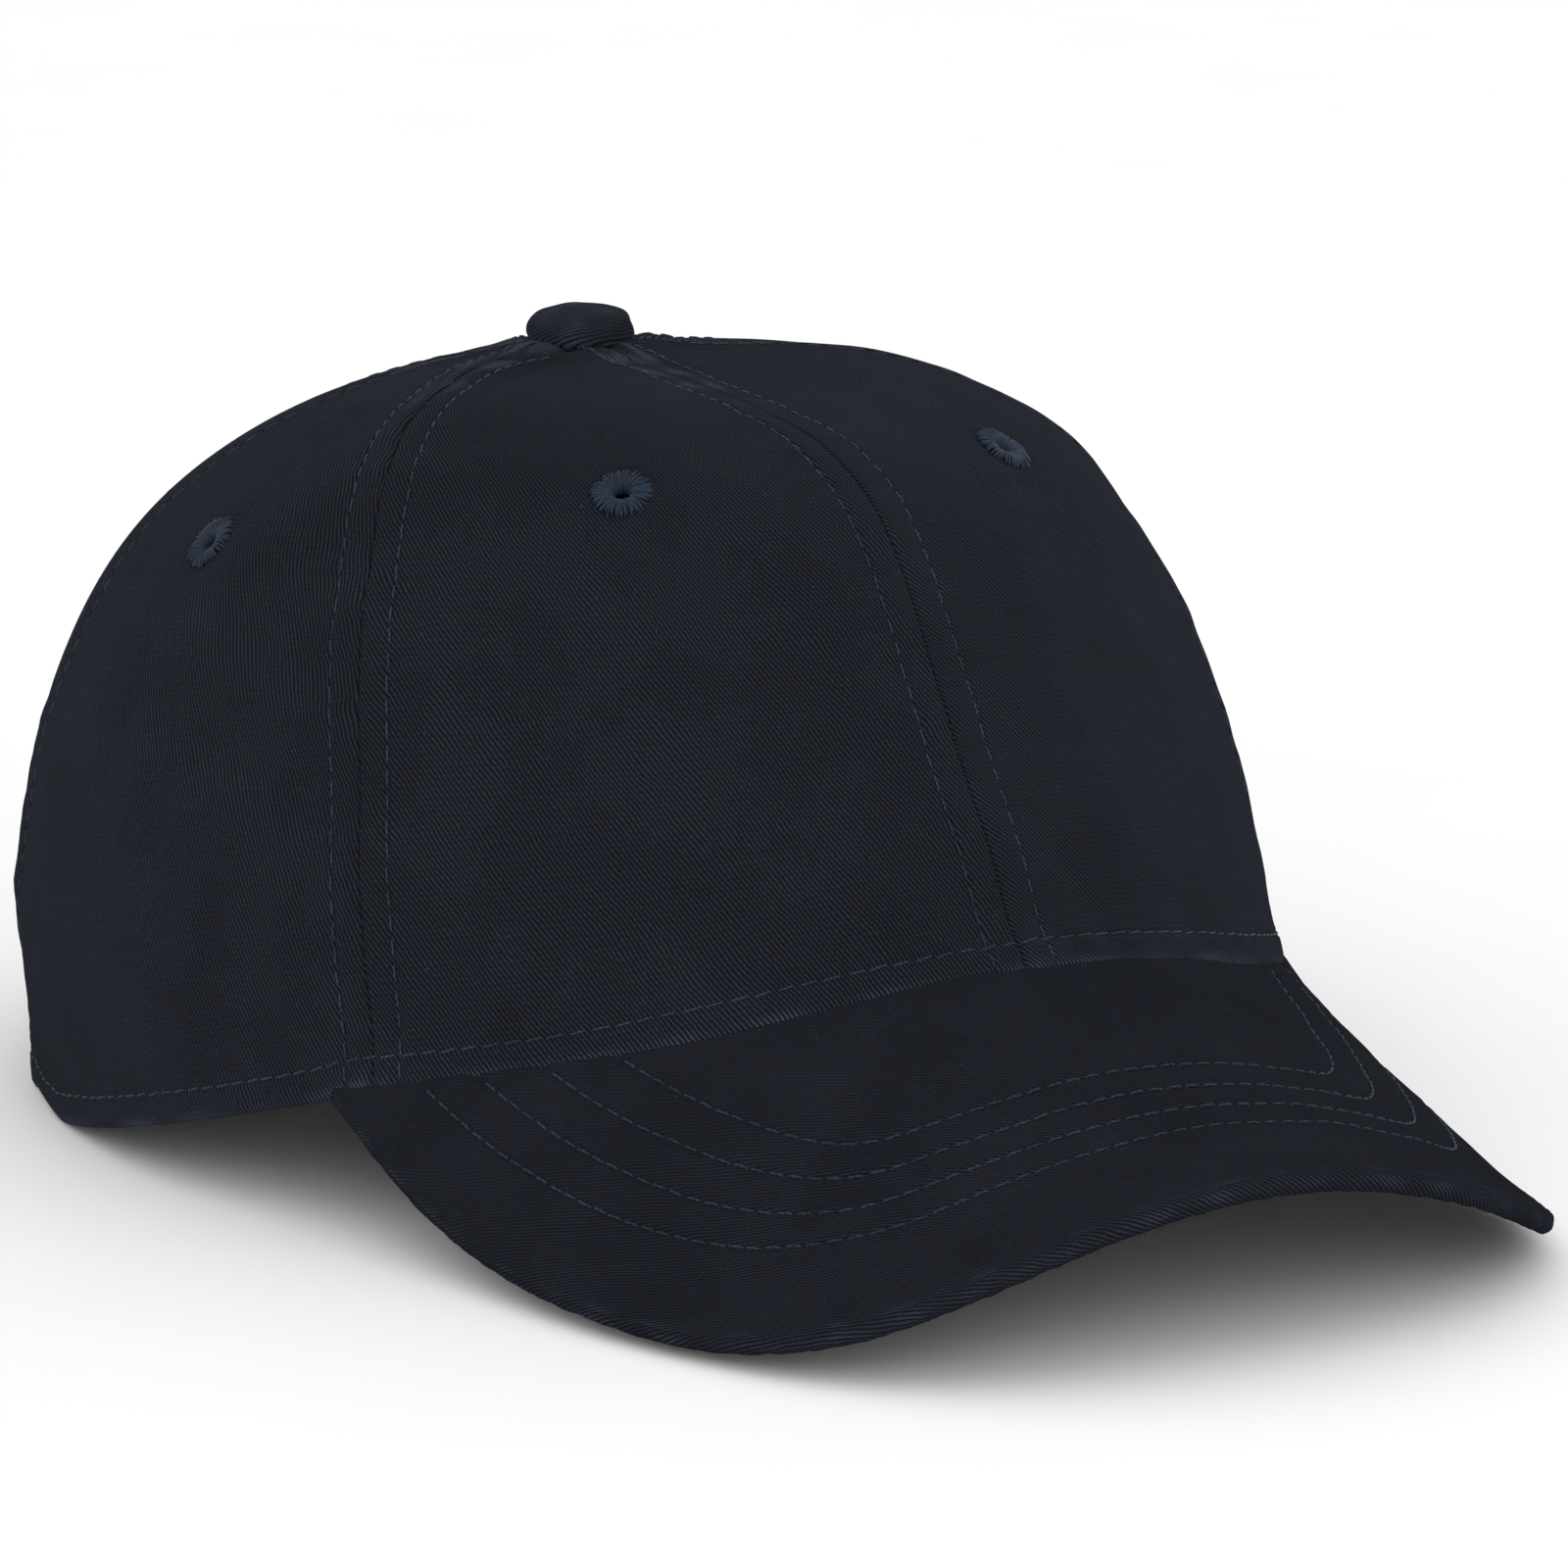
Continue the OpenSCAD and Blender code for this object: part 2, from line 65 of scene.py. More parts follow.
def bell(x, centre, width):  # a bump of height 1 at centre
    return np.exp(-((x - centre) / width) ** 2)


def around(three, t):  # the front, side and back values blended round the head
    f, s, b = three
    c = np.cos(np.radians(t))
    return s + (f - b) / 2 * c + ((f + b) / 2 - s) * c * c


def unit(v):  # each vector divided by its length
    return v / np.maximum(np.linalg.norm(v, axis=-1, keepdims=True), 1e-12)


def ripple(x, y, wave, seed, layers=7):  # smooth uneven waves, about -1 to 1: sines in several directions
    rng = np.random.default_rng(seed)
    turn = rng.uniform(0, 2 * np.pi, layers)
    size = wave * rng.uniform(0.7, 1.6, layers)
    start = rng.uniform(0, 2 * np.pi, layers)
    total = 0
    for a, w, p in zip(turn, size, start):
        total = total + np.sin(2 * np.pi * (x * np.cos(a) + y * np.sin(a)) / w + p)
    return total / np.sqrt(layers)


def archDrop(x):  # a circle's drop, opened out towards its sides
    r = peakShape["archRadius"]
    return (r - np.sqrt(r * r - np.minimum(x * x, r * r))) * (1 - peakShape["archEase"] * (x / 80) ** 2)


def peakAlong(x, y):  # distance along the peak's cloth at a point in plan
    p = math.radians(peakShape["slope"])
    return (archDrop(x) * math.sin(p) - cap["rimAlong"] - y) / math.cos(p)


def peakHeight(x, s):  # the front's height, less slope and arch, plus a slight curl and the raised corners
    p = math.radians(peakShape["slope"])
    beyond = np.maximum(0, np.abs(x) - peakShape["liftFrom"])
    corner = peakShape["cornerLift"] * beyond ** 2 * (1 - ease(-40, -5, s))
    return cap["rimFront"] - s * math.sin(p) - archDrop(x) * math.cos(p) + peakShape["curl"] * s * s + corner


def peakPoint(w, s):  # the flat pattern (w across, s forwards) bent over the arch and sloped
    p = math.radians(peakShape["slope"])
    x = peakShape["archRadius"] * np.sin(w / peakShape["archRadius"])
    y = archDrop(x) * math.sin(p) - cap["rimAlong"] - s * math.cos(p)
    middle, width = peakShape["shoulderAt"]  # the front corners stand a little above the plain arch
    k = peakShape["shoulder"] * bell(np.abs(w), middle, width) * np.clip((s + 28) / 45, 0, 1)
    return np.stack([x + np.sign(w) * 0.4 * k, y, peakHeight(x, s) + k], -1)


def peakNormal(w, s):  # square to the surface's two directions, taken over a millimetre
    sideways = peakPoint(w + 0.5, s) - peakPoint(w - 0.5, s)
    return unit(np.cross(sideways, peakPoint(w, s - 0.5) - peakPoint(w, s + 0.5)))


def outline(f):  # the pattern's edge, f from 0 to 180 degrees between the corners
    c = np.cos(np.radians(f))
    reach = peakShape["length"] + peakShape["cornerBack"]
    s = reach * np.maximum(1 - np.abs(c) ** peakShape["squareAcross"], 0) ** (1 / peakShape["squareAlong"])
    return np.stack([-peakShape["halfWidth"] * c, s - peakShape["cornerBack"]], -1)


def outlineIn(f, d):  # the edge moved in by d
    v = unit(outline(f + 0.5) - outline(f - 0.5))
    return outline(f) + np.stack([v[..., 1], -v[..., 0]], -1) * np.asarray(d)[..., None]


def edgeHeight(t):  # the peak's height where it meets the crown's oval
    x, y = cap["rimAcross"] * np.sin(np.radians(t)), -cap["rimAlong"] * np.cos(np.radians(t))
    return peakHeight(x, peakAlong(x, y))


def rimPoint(t):  # an oval that follows the peak's arch in front and comes down to the table at the sides
    t = np.asarray(t, float)
    a = np.abs(t)
    a = np.minimum(a, 360 - a)
    corner, rear = cap["cornerAngle"], cap["rearAngle"]
    tail = edgeHeight(corner) * (np.clip(rear - a, 0, None) / (rear - corner)) ** cap["rearDrop"]
    z = np.where(a <= corner, edgeHeight(np.minimum(a, corner)), tail)
    return np.stack([cap["rimAcross"] * np.sin(np.radians(t)), -cap["rimAlong"] * np.cos(np.radians(t)), z], -1)


crownTop = np.array([0.0, cap["topBack"], cap["topHeight"]])


def crownPoint(t, u):  # a cubic curve up each meridian, from the rim to the button
    t, u = np.broadcast_arrays(np.asarray(t, float), np.asarray(u, float))
    base = rimPoint(t)
    h = crownTop - base
    run = np.hypot(h[..., 0], h[..., 1])
    out = np.stack([-h[..., 0] / run, -h[..., 1] / run, 0 * run], -1)
    lean = np.radians(around(cap["lean"], t))
    rise = around(cap["fullness"], t) * h[..., 2]
    low = base + out * (np.sin(lean) * rise)[..., None] + np.stack([0 * run, 0 * run, np.cos(lean) * rise], -1)
    high = crownTop + out * (around(cap["flatness"], t) * run)[..., None]
    u = u[..., None]
    v = 1 - u
    return base * v ** 3 + low * (3 * v * v * u) + high * (3 * v * u * u) + crownTop * u ** 3


def crownNormal(t, u):  # square to the crown's two directions, taken over a short step
    u = np.minimum(u, 0.995)
    sideways = crownPoint(t + 0.4, u) - crownPoint(t - 0.4, u)
    return unit(np.cross(sideways, crownPoint(t, u + 0.002) - crownPoint(t, u - 0.002)))


def perDegree(t, u):  # millimetres round the crown to one degree
    return np.linalg.norm(crownPoint(t + 0.5, u) - crownPoint(t - 0.5, u), axis=-1)


def seamAngle(k, u):
    # seam 0 is in front, 1 and 2 on the wearer's left, -1 and -2 on the right, 3 and -3 at the back
    u = np.asarray(u, float)
    if abs(k) == 3 or k == 0:
        return 60.0 * k + 0 * u
    start, bow, swing = cap["frontSeam"] if abs(k) == 1 else cap["rearSeam"]
    return np.sign(k) * (start + bow * 4 * u * (1 - u) + swing * u ** 3)


def upBy(t, h):  # the share of the way up at which the cloth has risen h
    k = h / (3 * around(cap["fullness"], t) * (cap["topHeight"] - rimPoint(t)[..., 2]))
    return k + k * k


def upToTop(t, r):  # the share of the way up at which the cloth is r from the button's middle
    u = np.linspace(0.5, 1, 251)
    d = crownPoint(np.asarray(t, float)[..., None], u) - crownTop
    far = np.hypot(d[..., 0], d[..., 1]) >= r
    return u[np.sum(far, -1) - 1]


eyelets = {
    "threads": 84, "threadRadius": 0.15, "front": 0.49, "side": 0.384, "back": 0.42, "cut": 2.6,
    # each thread's distance from the middle and height over the cloth, from outside round to the inside
    "reach": (4.55, 4.25, 3.3, 2.2, 1.45, 1.24, 1.5, 2.9, 4.2),
    "rise": (-0.15, 0.34, 0.62, 0.56, 0.22, -0.55, -1.25, -1.5, -1.25),
}


def eyeletPlace(k):  # panel k lies between seams k and k + 1
    u = eyelets["front"] if k in (0, -1) else eyelets["side"] if k in (1, -2) else eyelets["back"]
    return (seamAngle(k, u) + seamAngle(k + 1, u)) / 2, u


eyeletSpots = np.array([crownPoint(*eyeletPlace(k)) for k in range(-3, 3)])


relief = {  # the sewn cloth's relief: height, then where and how wide or long, in millimetres
    "dents": (0.4, 70), "dimples": (0.16, 26), "sink": 0.45,
    "seamLine": (0.32, 0.2), "seamValley": (0.12, 0.9), "allowance": (0.26, 2.4, 2.0), "pull": (0.3, 9),
    "rowDip": (0.26, 0.42), "pucker": (0.17, 3.2), "hem": 0.3, "hemEdge": (0.45, 0.55), "hemDip": (0.28, 0.42),
    "rope": (0.14, 3), "bandEdge": 0.3, "eyeletDip": (0.25, 4.5), "eyeletRing": (0.1, 6.5, 1.8),
    "heap": (1.05, 9.0, 5.5), "heapFolds": (0.12, 6), "underButton": (1.5, 7),
}


def clothLift(t, u):
    # how far the sewn cloth stands off the plain crown: it turns down into each seam, swells over
    # the allowance, dips under each row of stitches, and puckers unevenly beside them
    t = (t + 180) % 360 - 180
    p = crownPoint(t, u)
    scale = perDegree(t, u)
    height = np.linalg.norm(p - crownPoint(t, 0 * u), axis=-1)
    run = 1.3 * t * (1 - ease(90, 180, np.abs(t)))  # millimetres round the crown, alike beside the back seam
    (dent, dentWave), (dimple, dimpleWave) = relief["dents"], relief["dimples"]
    lift = dent * ripple(run, height, dentWave, 3) + dimple * ripple(run, height, dimpleWave, 4)
    lift = lift - relief["sink"]
    narrow = np.clip(scale / 0.9, 0, 1)
    swell, swellAt, swellWide = relief["allowance"]
    (dip, dipWide), (pucker, puckerWide), (pull, pullWide) = relief["rowDip"], relief["pucker"], relief["pull"]
    for k in range(-2, 4):
        d = np.abs((t - seamAngle(k, u) + 180) % 360 - 180) * scale
        near = 1 - ease(7, 15, d)
        along = height + 40 * k
        wave = ripple(along, 0.35 * d, 7.5, 30 + k) * 0.6 + ripple(along, 0.2 * d, 3.6, 50 + k) * 0.4
        slow = ripple(along, 0, 24, 70 + k)
        # a pinched seam: deepest on the line, a soft roll to each side
        for depth, wide in (relief["seamLine"], relief["seamValley"]):
            lift = lift - depth * bell(d, 0, wide)
        lift = lift + (swell + 0.08 * slow) * bell(d, swellAt, swellWide) * narrow
        lift = lift - (dip + 0.06 * wave) * bell(d, cap["rowGap"], dipWide) * narrow
        lift = lift + pucker * wave * bell(d, cap["rowGap"], puckerWide) * near * narrow
        lift = lift + pull * slow * bell(d, 0, pullWide) * narrow
    # the folded hem, with a roped row of stitches
    rope = ripple(t * 1.45 + height * 0.8, 0, 6.0, 11)
    (edge, edgeWide), (hemDip, hemDipWide) = relief["hemEdge"], relief["hemDip"]
    roped, ropedWide = relief["rope"]
    lift = lift + relief["hem"] * (1 - ease(3.6, 6.2, height)) - edge * bell(height, 0, edgeWide)
    lift = lift - hemDip * bell(height, cap["hemHeight"], hemDipWide)
    lift = lift + roped * rope * bell(height, cap["hemHeight"] - 1, ropedWide)
    # the sweatband's upper edge presses through a little
    overBand = 1 - ease(cap["bandTop"] - 2.5, cap["bandTop"] + 1, height)
    lift = lift + relief["bandEdge"] * overBand * ease(8, 14, height)
    (sunk, sunkWide), (ring, ringAt, ringWide) = relief["eyeletDip"], relief["eyeletRing"]
    for spot in eyeletSpots:
        d = np.linalg.norm(p - spot, axis=-1)
        lift = lift - sunk * bell(d, 0, sunkWide) + ring * bell(d, ringAt, ringWide)
    # the seams' plies heap up round the button
    middle = np.hypot(p[..., 0], p[..., 1] - cap["topBack"])
    (heap, heapAt, heapWide), (fold, foldWave) = relief["heap"], relief["heapFolds"]
    heaped = heap * bell(middle, heapAt, heapWide)
    heaped = heaped + fold * ripple(p[..., 0], p[..., 1], foldWave, 21) * bell(middle, 12, 6)
    return lift * ease(*relief["underButton"], middle) + heaped


def clothUnder(t, u):  # how deep the inside of the sewn cloth lies below the plain crown
    return np.maximum(cap["clothThickness"], 0.25 - clothLift(t, u))


def sewn(t, u, off=0.0):  # a point on the sewn cloth, or off it by some millimetres
    return crownPoint(t, u) + crownNormal(t, u) * (clothLift(t, u) + off)[..., None]


def addObject(name, verts, faces, uv=None, wear=None, smooth=True):
    # verts in millimetres, faces as one array of corner numbers, uv one pair per vertex
    mesh = bpy.data.meshes.new(name)
    verts = np.ascontiguousarray(verts, np.float32).reshape(-1, 3) * np.float32(mm)
    faces = np.ascontiguousarray(faces, np.int32)
    corners = faces.shape[1]
    mesh.vertices.add(len(verts))
    mesh.loops.add(faces.size)
    mesh.polygons.add(len(faces))
    mesh.vertices.foreach_set("co", verts.ravel())
    mesh.loops.foreach_set("vertex_index", faces.ravel())
    mesh.polygons.foreach_set("loop_start", np.arange(0, faces.size, corners, dtype=np.int32))
    mesh.update(calc_edges=True)
    mesh.polygons.foreach_set("use_smooth", np.full(len(faces), smooth))
    if uv is not None:
        layer = mesh.uv_layers.new(name="weave")
        layer.data.foreach_set("uv", np.asarray(uv, np.float32).reshape(-1, 2)[faces.ravel()].ravel())
    if wear is not None:
        field = mesh.attributes.new("wear", "FLOAT", "POINT")
        field.data.foreach_set("value", np.asarray(wear, np.float32).ravel())
    mesh.validate()
    obj = bpy.data.objects.new(name, mesh)
    bpy.context.scene.collection.objects.link(obj)
    return obj


def gridFaces(rows, cols, roundCols=False, roundRows=False):  # quads over a grid of points, numbered row by row
    i = np.arange(rows if roundRows else rows - 1)[:, None]
    j = np.arange(cols if roundCols else cols - 1)[None, :]
    i2, j2 = (i + 1) % rows, (j + 1) % cols
    return np.stack([i * cols + j, i * cols + j2, i2 * cols + j2, i2 * cols + j], -1).reshape(-1, 4)


def tubes(name, path, normal, radius, ring=6):
    # many short rods at once: path and normal are (rods, stations, 3); the rods close to a point at both ends
    n, s = path.shape[:2]
    ahead = unit(np.gradient(path, axis=1))
    side = unit(np.cross(ahead, normal))
    up = np.cross(side, ahead)
    a = np.linspace(0, 2 * np.pi, ring, endpoint=False)
    along = np.linspace(-1, 1, s)
    girth = np.asarray(radius) * np.clip(1 - np.abs(along) ** 6, 0.0, 1) ** 0.5
    girth = np.broadcast_to(np.maximum(girth, 0.012), (n, s))
    body = path[:, :, None] + girth[:, :, None, None] * (
        side[:, :, None] * np.cos(a)[None, None, :, None] + up[:, :, None] * np.sin(a)[None, None, :, None])
    quads = gridFaces(s, ring, roundCols=True)
    faces = (quads[None] + (np.arange(n) * s * ring)[:, None, None]).reshape(-1, 4)
    length = np.concatenate([np.zeros((n, 1)), np.cumsum(np.linalg.norm(np.diff(path, axis=1), axis=-1), 1)], 1)
    start = np.arange(n)[:, None, None] * 3.1  # so that no two stitches show the same twist
    uv = np.stack(np.broadcast_arrays(length[:, :, None] + start, (a / (2 * np.pi))[None, None]), -1)
    return addObject(name, body, faces, uv)


def runAlong(points):  # the distance along a line at each of its points
    return np.concatenate([[0], np.cumsum(np.linalg.norm(np.diff(points, axis=0), axis=-1))])


def measure(grid):  # the steps between neighbouring points up and across the grid, not kept or returned
    up, aside = grid[1:, :-1] - grid[:-1, :-1], grid[:-1, 1:] - grid[:-1, :-1]


def facesOut(outer, inner):  # true if the grid's row x column order already faces away from the inner grid
    a = outer[1:, :-1] - outer[:-1, :-1]
    b = outer[:-1, 1:] - outer[:-1, :-1]
    return np.sum(np.cross(b, a) * (outer - inner)[:-1, :-1]) > 0


def shell(name, outer, inner, uv, wear, holes=()):
    # two grids of the same size, outside and inside of one cloth, joined round their border;
    # the columns are flipped where the faces would point inwards, and faces within a hole
    # (a point and a radius) are left out
    if not facesOut(outer, inner):
        outer, inner, uv, wear = (g[:, ::-1] for g in (outer, inner, uv, wear))
    measure(outer)
    rows, cols = outer.shape[:2]
    n = rows * cols
    quads = gridFaces(rows, cols)
    idx = np.arange(n).reshape(rows, cols)
    border = np.concatenate([idx[0, :-1], idx[:-1, -1], idx[-1, :0:-1], idx[:0:-1, 0]])
    after = np.roll(border, -1)
    middle = outer.reshape(-1, 3)[quads].mean(1)
    keep = np.ones(len(quads), bool)
    for spot, radius in holes:
        keep &= np.linalg.norm(middle - spot, axis=-1) > radius
    quads = quads[keep]
    walls = np.stack([after, border, border + n, after + n], -1)
    faces = np.concatenate([quads, quads[:, ::-1] + n, walls])
    verts = np.concatenate([outer.reshape(-1, 3), inner.reshape(-1, 3)])
    bothUv = np.concatenate([uv.reshape(-1, 2)] * 2)
    return addObject(name, verts, faces, bothUv, np.concatenate([wear.ravel(), wear.ravel() * 0]))


def spread(length, zone, fine, coarse):  # distances from 0 to length, close together near both ends
    a = np.linspace(0, 1, fine)
    mid = np.linspace(0, 1, coarse + 2)[1:-1]
    zone = np.minimum(zone, 0.4 * length)[..., None]
    length = length[..., None]
    return np.concatenate([a * zone, zone + mid * (length - 2 * zone), length - zone + a * zone], -1)


# the six crown panels
panel = {"fineColumns": 32, "columns": 56, "rows": 176, "seamZone": 7.2, "ribLean": 30.0, "topRadius": 3.2}


def openingEdge(side, radius=cap["openingRadius"]):
    # the cut over the back strap: angle and share of height where the cloth meets a circle
    s = np.linspace(0, 1, 500)
    corner = 180 - math.degrees(math.asin(radius / cap["rimAcross"]))
    t = corner + (180 - corner) * s ** 2
    u = np.linspace(0, 0.75, 700)
    p = crownPoint(t[:, None], u[None, :])
    inside = np.hypot(p[..., 0], p[..., 2]) < radius
    first = np.argmin(inside, 1)
    r = np.hypot(p[..., 0], p[..., 2])
    i = np.arange(len(s))
    lo = np.maximum(first - 1, 0)
    part = np.where(first > 0, (radius - r[i, lo]) / np.maximum(r[i, first] - r[i, lo], 1e-6), 0)
    return t * side, u[lo] + (u[first] - u[lo]) * np.clip(part, 0, 1)


def panelGrid(k):  # angles and shares of height over panel k, rows from its lower edge to the button
    rows = panel["rows"]
    w = np.linspace(0, 1, rows)
    w = np.where(w < 0.2, w / 0.2 * 0.06, 0.06 + (w - 0.2) / 0.8 * 0.94)
    atTop = (seamAngle(k, 1.0) + seamAngle(k + 1, 1.0)) / 2
    uTop = upToTop(atTop, panel["topRadius"])
    middle = (seamAngle(k, 0.0) + seamAngle(k + 1, 0.0)) / 2
    if abs(k + 0.5) < 2:
        width = abs(seamAngle(k + 1, 0.0) - seamAngle(k, 0.0)) * perDegree(middle, 0.0)
        share = spread(np.array(width), panel["seamZone"], panel["fineColumns"], panel["columns"]) / width
        bottomQ, bottomU = share, 0 * share
    else:
        # along the rim from the seam, then up and round the opening's edge
        side = 1 if k > 0 else -1
        tCut, uCut = openingEdge(side)
        tRim = np.linspace(120 * side, tCut[0], 60)[:-1]
        t, u = np.concatenate([tRim, tCut]), np.concatenate([0 * tRim, uCut])
        run = runAlong(crownPoint(t, u))
        at = spread(np.array(run[-1]), panel["seamZone"], panel["fineColumns"], panel["columns"])
        t, u = np.interp(at, run, t), np.interp(at, run, u)
        q = (t - seamAngle(k, u)) / (seamAngle(k + 1, u) - seamAngle(k, u))
        if k < 0:
            t, u, q = t[::-1], u[::-1], q[::-1]
        bottomQ, bottomU = np.clip(q, 0, 1), u
    u = bottomU[None, :] + (uTop - bottomU[None, :]) * w[:, None]
    t0, t1 = seamAngle(k, u), seamAngle(k + 1, u)
    rowU = u.mean(1)
    left, right = seamAngle(k, rowU), seamAngle(k + 1, rowU)
    wide = (right - left) * perDegree((right + left) / 2, rowU)
    share = spread(wide, panel["seamZone"], panel["fineColumns"], panel["columns"]) / wide[:, None]
    mix = ease(0.0, 0.55, w)[:, None]
    q = bottomQ[None, :] * (1 - mix) + share * mix
    return t0 + (t1 - t0) * q, u


def makePanel(k, name):  # the sewn cloth between two seams, with its inside a cloth's thickness in
    t, u = panelGrid(k)
    outer = sewn(t, u)
    inner = crownPoint(t, u) - crownNormal(t, u) * clothUnder(t, u)[..., None]
    # the weave lies flat in each panel: across and along its own middle line
    mid = (seamAngle(k, u) + seamAngle(k + 1, u)) / 2
    x = (t - mid) * perDegree(mid, u)
    y = np.linalg.norm(crownPoint(mid, u) - crownPoint(mid, 0 * u), axis=-1)
    lean = math.radians(panel["ribLean"])
    # pucker turns the ribs a little between the rows of stitches
    near = np.minimum(np.abs(t - seamAngle(k, u)), np.abs(t - seamAngle(k + 1, u))) * perDegree(t, u)
    x = x + 0.35 * ripple(x, y, 19, 90 + k) + 0.16 * ripple(y, near, 5.5, 95 + k) * (1 - ease(5, 9, near))
    uv = np.stack([x * math.cos(lean) + y * math.sin(lean), -x * math.sin(lean) + y * math.cos(lean)], -1)
    height = np.linalg.norm(outer - crownPoint(t, 0 * u), axis=-1)
    topDistance = np.hypot(outer[..., 0], outer[..., 1] - cap["topBack"])
    fold = bell(near, 1.9, 1.3) * 0.55
    rubbed = ripple(height * 1.0, near * 2.2, 7, 61 + k) * 0.5 + 0.5
    wear = fold * (0.2 + 0.25 * ripple(height, 0 * near, 9, 61 + k))
    wear = wear + 1.3 * ease(64, 18, topDistance) * rubbed * bell(near, 2.6, 2.6)
    wear = wear + 0.75 * bell(height, 0.2, 1.2) * (0.7 + 0.4 * ripple(t * 1.5, 0 * t, 11, 41))
    wear = wear + 0.26 * (1 - ease(3.5, 5.5, height)) + 0.3 * ease(16, 8, topDistance)
    spot = crownPoint(*eyeletPlace(k))
    return shell(name, outer, inner, uv, np.clip(wear, 0, 1), holes=[(spot, eyelets["cut"])])


# eyelets: satin threads laid from the outer edge over the cloth, down the hole and back out on the inside
def makeEyelet(k, name):
    rng = np.random.default_rng(200 + k)
    t, u = eyeletPlace(k)
    centre, n = sewn(t, u, 0.1), crownNormal(t, u)
    right = unit(np.cross(np.array([0, 0, 1.0]), n))
    upward = np.cross(n, right)
    count = eyelets["threads"]
    a = (np.arange(count) + rng.uniform(-0.22, 0.22, count)) * 2 * np.pi / count
    r, h = np.array(eyelets["reach"]), np.array(eyelets["rise"])
    radius = r[None, :] + rng.uniform(-0.4, 0.22, (count, 1)) * (r / 4.5) ** 4 + rng.normal(0, 0.06, (count, 1))
    lift = h[None, :] + rng.normal(0, 0.05, (count, 1)) * np.sign(h)
    turn = a[:, None] + rng.normal(0, 0.035, (count, 1)) * (r - 1.2) / 3
    flat = right * np.cos(turn)[..., None] + upward * np.sin(turn)[..., None]
    p = centre + flat * radius[..., None] + n * lift[..., None]
    tangent = unit(np.gradient(p, axis=1))
    nrm = np.cross(np.cross(n, flat), tangent)
    return tubes(name, p, unit(nrm), eyelets["threadRadius"], ring=5)


# threads: separate stitches
thread = {
    "pitch": 3.35, "gap": 0.66, "radius": 0.165, "rise": 0.15, "edgeFromHem": 0.9, "topStop": 8.2,
    "hemEnd": 150, "peakRadius": 0.2,
}


def stitches(points, normals, seed, pitch=None, slant=0.0, rise=None, gap=None):
    # each stitch leaves the cloth, runs over it and goes back in; slant turns it across the row
    rng = np.random.default_rng(seed)
    pitch = pitch or thread["pitch"]
    gap = thread["gap"] if gap is None else gap
    run = runAlong(points)
    count = max(2, int(run[-1] / pitch))
    start = (np.arange(count) + 0.5) * run[-1] / count + rng.normal(0, 0.08, count)
    half = (run[-1] / count - gap) / 2 * rng.uniform(0.92, 1.05, count)
    along = np.linspace(-1, 1, 8)
    where = start[:, None] + half[:, None] * along

    def take(values):
        return np.stack([np.interp(where, run, values[:, c]) for c in range(3)], -1)
    p, n = take(points), unit(take(normals))
    height = (thread["rise"] if rise is None else rise) * (1 - along ** 4) - 0.32 * np.abs(along) ** 9
    p = p + n * (height + rng.normal(0, 0.015, (count, 1)))[..., None]
    ahead = unit(np.gradient(p, axis=1))
    drift = (slant + rng.normal(0, 0.05, (count, 1))) * along + rng.normal(0, 0.035, (count, 1))
    return p + np.cross(n, ahead) * drift[..., None], n


def sewRows(name, rows, radius=None):  # the stitches of several rows as one piece
    p = np.concatenate([r[0] for r in rows])
    n = np.concatenate([r[1] for r in rows])
    return tubes(name, p, n, radius or thread["radius"], ring=6)


def seamRows(k, fromHeight):  # a row along each side of the seam, from a height up to the button
    rows = []
    u0 = upBy(seamAngle(k, 0.0), fromHeight)
    u1 = upToTop(seamAngle(k, 0.9), thread["topStop"])
    u = np.linspace(u0, u1, 400)
    for side in (-1, 1):
        t = seamAngle(k, u)
        t = t + side * cap["rowGap"] / perDegree(t, u)
        rows.append(stitches(sewn(t, u), crownNormal(t, u), 300 + 10 * k + side, slant=0.06))
    return rows


def hemRows():  # one row round the lower edge
    t = np.linspace(-thread["hemEnd"], thread["hemEnd"], 1600)
    u = upBy(t, cap["hemHeight"])
    return [stitches(sewn(t, u), crownNormal(t, u), 340, pitch=3.3, slant=0.13, rise=0.14, gap=0.3)]


def onOpening(radius, turn, side):  # where the back panels meet a tube of this radius, turn degrees up the arch
    t, u = openingEdge(side, radius)
    p = crownPoint(t, u)
    phi = np.degrees(np.arctan2(p[:, 2], np.abs(p[:, 0])))
    return np.interp(turn, phi, t), np.interp(turn, phi, u)


def openingBand(radii, low, steps):  # angle and height on the crown along a band round the opening
    ts, us = [], []
    for r in radii:
        start = math.degrees(math.asin(low / r))
        phi = np.linspace(start, 90, steps)
        tl, ul = onOpening(r, phi, 1)
        tr, ur = onOpening(r, phi, -1)
        ts.append(np.concatenate([tl, 360 + tr[::-1][1:]]))
        us.append(np.concatenate([ul, ur[::-1][1:]]))
    return np.array(ts), np.array(us)


# tapes, binding and sweatband inside the crown
tape = {
    "width": 12.0, "thickness": 0.45, "depth": 1.35, "topStop": 14.5, "bindingWidth": 6.6, "bindingLow": 23.5,
}
band = {
    "height": 32.0, "lift": 1.0, "thickness": 0.8, "freeRadius": 70.26, "backCentre": 29.538,
    "end": 147, "rowHeights": (4.9, 29.6),
}


